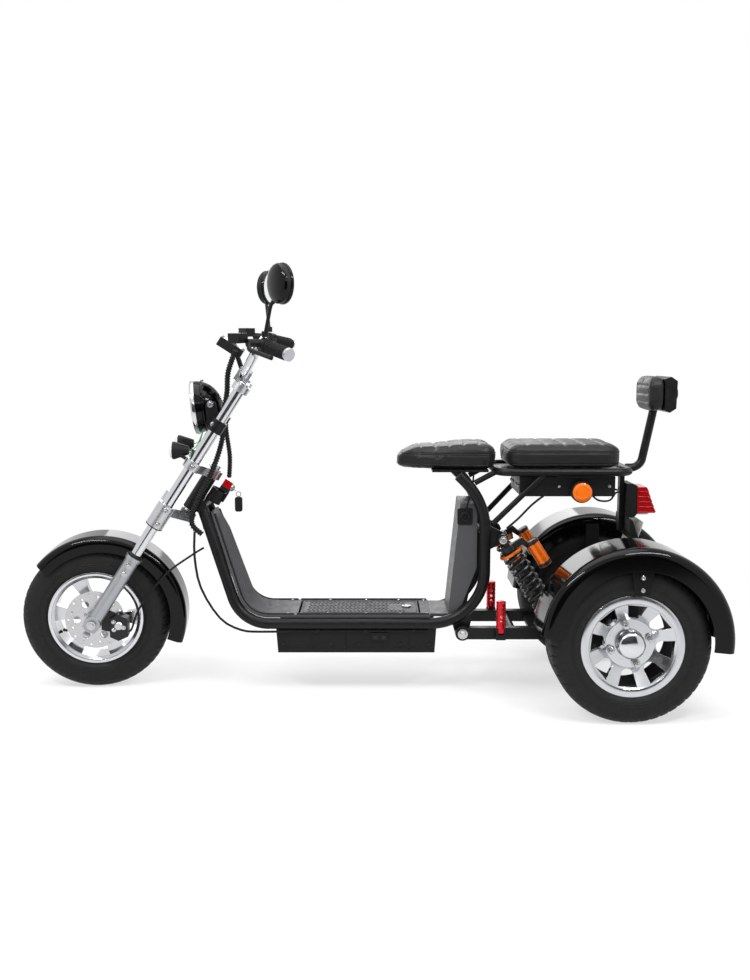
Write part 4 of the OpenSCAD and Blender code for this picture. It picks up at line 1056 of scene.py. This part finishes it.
for side, body in ((1, "peg_left"), (-1, "peg_right")):
    rings = Shape()
    for k in range(7):
        rings.lathe([(13.4, -1.2), (14.4, -0.5), (14.4, 0.5), (13.4, 1.2)],
                    facing(at(1188, side * 133, 212 + 11.4 * k), UP), 28)
    rings.lathe([(13.6, 0), (13.6, 1.4), (12, 2.4), (0, 2.6)], facing(at(1188, side * 133, 282), UP), 28)
    rings.ride(f"{body}_rings", body, "red_anodised")


# Rear end: plate, lamp trim, marker housings, fender tabs and seat box

plate = Shape()
slope = math.atan2(1600 - 1568, 512 - 420)
plate_frame = Matrix.Translation(at(1586.4, 0, 468)) @ Matrix.Rotation(-math.pi / 2 - slope, 4, "Y")
plate.plate(arc_box(-40, 40, -80, 80, 8), 2.2, 3.6, plate_frame, 0.5)
plate.ride("blank_plate", "chassis", "plate_white", "box_black")
plate_bolts = Shape()
for y in (-55, 55):
    cap_screw(plate_bolts, plate_frame @ shift(28, y, 3.4), 4, 3)
plate_bolts.ride("plate_bolts", "chassis", "steel")

marker_trim = Shape()
marker_face = Shape()
for side in BOTH:
    spot = on_side(1410, 138, 600, side)
    marker_trim.lathe([(29, -12), (30.6, -10), (30.6, 3), (29, 6), (27.2, 6.4), (27.1, 3)],
                      spot, 48, ring=True)
    marker_face.lathe([(26.6, 9.6), (24, 11.4), (16, 12.8), (0, 13.4)], spot, 40)
    marker_face.lathe([(20, 11.6), (19.4, 13.2), (18.4, 13.2), (17.8, 11.8)], spot, 40, ring=True)
marker_trim.ride("marker_housings", "chassis", "box_black")
marker_face.ride("marker_faces", "chassis", "amber_lens", sharp=60)

box_face = Shape()
face_frame = facing(at(1241.6, 0, 611), AHEAD) @ rot(90, "Z")
box_face.plate(arc_box(-24, 24, -94, 94, 8), 0, 2.2, face_frame, 0.8)
box_face.ride("controller_face", "chassis", "riser_grey", "panel_grey")
box_bolts = Shape()
for side in BOTH:
    for aft in (1352, 1495):
        cap_screw(box_bolts, on_side(aft, 101, 612, side), 5, 4)
    for y in (40, 80):
        cap_screw(box_bolts, facing(at(1239.6, side * y, 611), AHEAD), 5, 5)
box_bolts.ride("controller_screws", "chassis", "steel")
leads = Shape()
for side in BOTH:
    leads.tube(spline([at(1440, side * 112, 592), at(1462, side * 116, 574), at(1496, side * 104, 572),
                       at(1520, side * 70, 588), at(1545, side * 20, 586)], 10), 2.8, 8)
    leads.tube(spline([at(1310, side * 100, 586), at(1274, side * 110, 560), at(1236, side * 108, 520),
                       at(1206, side * 94, 490)], 10), 3.2, 8)
leads.ride("rear_leads", "chassis", "rubber_black", sharp=60)

TAB_AFT, TAB_Y, TAB_UP = 1526, 388.4, 402
TAB = [(-30, 34), (30, 34), (20, -44), (-20, -44)]
tabs = Shape()
tab_bolts = Shape()
for side in BOTH:
    spot = Matrix.Translation(at(TAB_AFT, side * TAB_Y, TAB_UP))
    tabs.plate(TAB, -1, 2.4, spot @ rot(-side * 90, "X") @ rot(180 if side > 0 else 0, "Z"), 0.6)
    for up in (408, 375):
        cap_screw(tab_bolts, on_side(TAB_AFT, (TAB_Y + 2.4), up, side), 6.5, 5)
tabs.ride("fender_tabs", "chassis", "fender_black")
tab_bolts.ride("fender_bolts", "chassis", "steel")

# Plates drawn from the side: X aft, Y up, thickness to the left
SIDE_ON = Matrix(((-1, 0, 0, FRONT_X * MM), (0, 0, 1, 0), (0, 1, 0, 0), (0, 0, 0, 1)))
TIERS, TIER = 5, 15
tail = Shape()
outline = [(1590.4, 525), (1590.4, 602), (1617, 602)]
for tier in range(TIERS):
    top, reach = 601 - TIER * tier, 1619 + 5.4 * tier
    outline += [(reach, top), (reach + 6, top - 12), (reach + 3, top - 14)]
    for left in (-41, 41):
        tail.tube([at(aft, left, top - 13) for aft in (1593, 1606, reach + 2.5)], 1.9, 8)
tail.plate(outline, -41, 41, SIDE_ON, 1.5)
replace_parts(tail.ride("tail_lamp_lens", "chassis", "red_lens", sharp=20), "tail_lamp")
window = Shape()
window.plate([(1592, 519), (1592, 525.4), (1632, 525.4), (1626, 519)], -24, 24, SIDE_ON, 1)
window.ride("plate_lamp_window", "chassis", "clear_lens", "red_lens")

lamp_rim = Shape()
lamp_rim.tube([at(1591, y, z) for y, z in arc_box(-39, 39, 523, 603, 8)], 2.4, 8, closed=True)
lamp_rim.ride("tail_lamp_gasket", "chassis", "rubber_black", sharp=60)

knob = Shape()
knob_frame = facing(at(1697, 0, 872), -AHEAD)
knob.lathe([(18.6, 0), (20, 2), (20, 6), (16, 9), (0, 10)], knob_frame, 40)
knob.ride("backrest_knob", "chassis", "box_black", sharp=50)


# Key switch: base, key and fob

SWITCH = NECK @ shift(-70, 0, 539)
base = Shape()
base.plate([(-74, -8.7), (-68.6, -8.7), (-68.6, 8.7), (-74, 8.7)], 489.2, 521.8, NECK)
base.plate([(-71, -20.7), (-43.3, -20.7), (-43.3, 20.7), (-71, 20.7)], 521.2, 534, NECK, 1)
base.ride("switch_base", "chassis", "box_black")
key = Shape()
key_frame = SWITCH @ rot(-90, "Y")
key.lathe([(11, 0), (11, 3), (9, 4.2), (4, 4.2), (4, 3)], key_frame, 32)
key.plate([(-1.2, -4), (1.2, -4), (1.2, 4), (-1.2, 4)], 3, 18, key_frame)
bow_frame = key_frame @ rot(90, "X") @ shift(0, 0, -26)
key.lathe([(11, 24), (12, 25), (12, 27), (11, 28)], bow_frame, 28)
key.ride("ignition_key", "chassis", "steel")
fob = Shape()
hang = key_frame @ Vector((0, 0, 0.026))
fob.tube([hang + Vector((0.007 * math.cos(a), 0, 0.007 * math.sin(a) - 0.006)) for a in
          [2 * math.pi * k / 20 for k in range(20)]], 0.9, 6, closed=True)
fob_frame = facing(hang + Vector((0, -0.003, -0.036)), LEFT)
fob.plate(arc_box(-11, 11, -22, 22, 7), 0, 8, fob_frame, 2)
fob.ride("key_fob", "chassis", "box_black")


# Stage, light and camera


def sheet(name, corners):
    mesh = bpy.data.meshes.new(name)
    mesh.from_pydata(corners, [], [(0, 1, 2, 3)])
    obj = bpy.data.objects.new(name, mesh)
    scene.collection.objects.link(obj)
    return obj


def fresh(tree, *kinds):
    """New nodes of the given kinds in an emptied tree."""
    tree.nodes.clear()
    return [tree.nodes.new(kind) for kind in kinds]


def join(tree, *pairs):
    for out, socket in pairs:
        tree.links.new(out, socket)


REACH = 30.0
floor = sheet("studio_floor", [(-REACH, -REACH, 0), (REACH, -REACH, 0), (REACH, REACH, 0), (-REACH, REACH, 0)])
floor_mat = bpy.data.materials.new("pale_floor")
floor_mat.use_nodes = True
tree = floor_mat.node_tree
out, mix, glow, matte, near, reach, fade = fresh(
    tree, "ShaderNodeOutputMaterial", "ShaderNodeMixShader", "ShaderNodeEmission", "ShaderNodeBsdfDiffuse",
    "ShaderNodeTexCoord", "ShaderNodeVectorMath", "ShaderNodeMapRange")
matte.inputs["Color"].default_value = (0.95, 0.95, 0.95, 1)
reach.operation = "LENGTH"
fade.interpolation_type = "SMOOTHSTEP"
for key, value in (("From Min", 0.9), ("From Max", 2.6), ("To Min", 0.4), ("To Max", 0.0)):
    fade.inputs[key].default_value = value
join(tree, (near.outputs["Object"], reach.inputs[0]), (reach.outputs["Value"], fade.inputs["Value"]),
     (fade.outputs[0], mix.inputs[0]), (glow.outputs[0], mix.inputs[1]), (matte.outputs[0], mix.inputs[2]),
     (mix.outputs[0], out.inputs[0]))
floor.data.materials.append(floor_mat)

CARD_X, CARD_Y, CARD_TOP = 1.8, 2.3, 1.5
card = sheet("dark_card", [(-CARD_X, CARD_Y, 0), (CARD_X, CARD_Y, 0), (CARD_X, CARD_Y, CARD_TOP),
                           (-CARD_X, CARD_Y, CARD_TOP)])
card.data.materials.append(MATS["box_black"])
card.visible_camera = card.visible_diffuse = card.visible_shadow = card.visible_transmission = False

world = bpy.data.worlds.new("studio")
scene.world = world
world.use_nodes = True
tree = world.node_tree
out, mix, soft, white, path, shown, seen = fresh(
    tree, "ShaderNodeOutputWorld", "ShaderNodeMixShader", "ShaderNodeBackground", "ShaderNodeBackground",
    "ShaderNodeLightPath", "ShaderNodeMath", "ShaderNodeMath")
for node, strength in ((soft, 0.5), (white, 1.0)):
    node.inputs["Color"].default_value = (1, 1, 1, 1)
    node.inputs["Strength"].default_value = strength
shown.operation = seen.operation = "MAXIMUM"
join(tree, (path.outputs["Is Camera Ray"], shown.inputs[0]), (path.outputs["Is Glossy Ray"], shown.inputs[1]),
     (shown.outputs[0], seen.inputs[0]), (path.outputs["Is Transmission Ray"], seen.inputs[1]),
     (seen.outputs[0], mix.inputs[0]), (soft.outputs[0], mix.inputs[1]), (white.outputs[0], mix.inputs[2]),
     (mix.outputs[0], out.inputs[0]))

LIGHTS = [
    # name, place in metres, aim, width and depth in metres, power in watts
    ("top_box", (0.1, 0.3, 3.2), (0, 0, 0.4), (3.2, 2.4), 60),
    ("front_strip", (1.5, 1.5, 2.4), (0.6, 0, 0.4), (1.6, 0.12), 40),
    ("rear_strip", (-1.5, 1.5, 2.4), (-0.6, 0.2, 0.4), (1.6, 0.12), 40),
    ("side_fill", (0.0, 3.6, 1.4), (0, 0, 0.5), (2.6, 1.6), 26),
    ("far_fill", (0.2, -3.2, 1.8), (0, 0, 0.5), (2.6, 1.6), 26),
]
for name, place, aim, size, power in LIGHTS:
    data = bpy.data.lights.new(name, "AREA")
    data.shape = "RECTANGLE"
    data.size, data.size_y = size
    data.energy = power
    lamp = bpy.data.objects.new(name, data)
    lamp.location = place
    lamp.rotation_euler = (Vector(aim) - Vector(place)).to_track_quat("-Z", "Y").to_euler()
    scene.collection.objects.link(lamp)

CAMERA_DIP = 7.42
camera_data = bpy.data.cameras.new("camera")
camera_data.lens = 38.95
camera = bpy.data.objects.new("camera", camera_data)
camera.location = at(827, 3100, 992)
camera.rotation_euler = (math.radians(90 - CAMERA_DIP), 0, math.pi)
scene.collection.objects.link(camera)
scene.camera = camera
scene.view_settings.view_transform = "Standard"
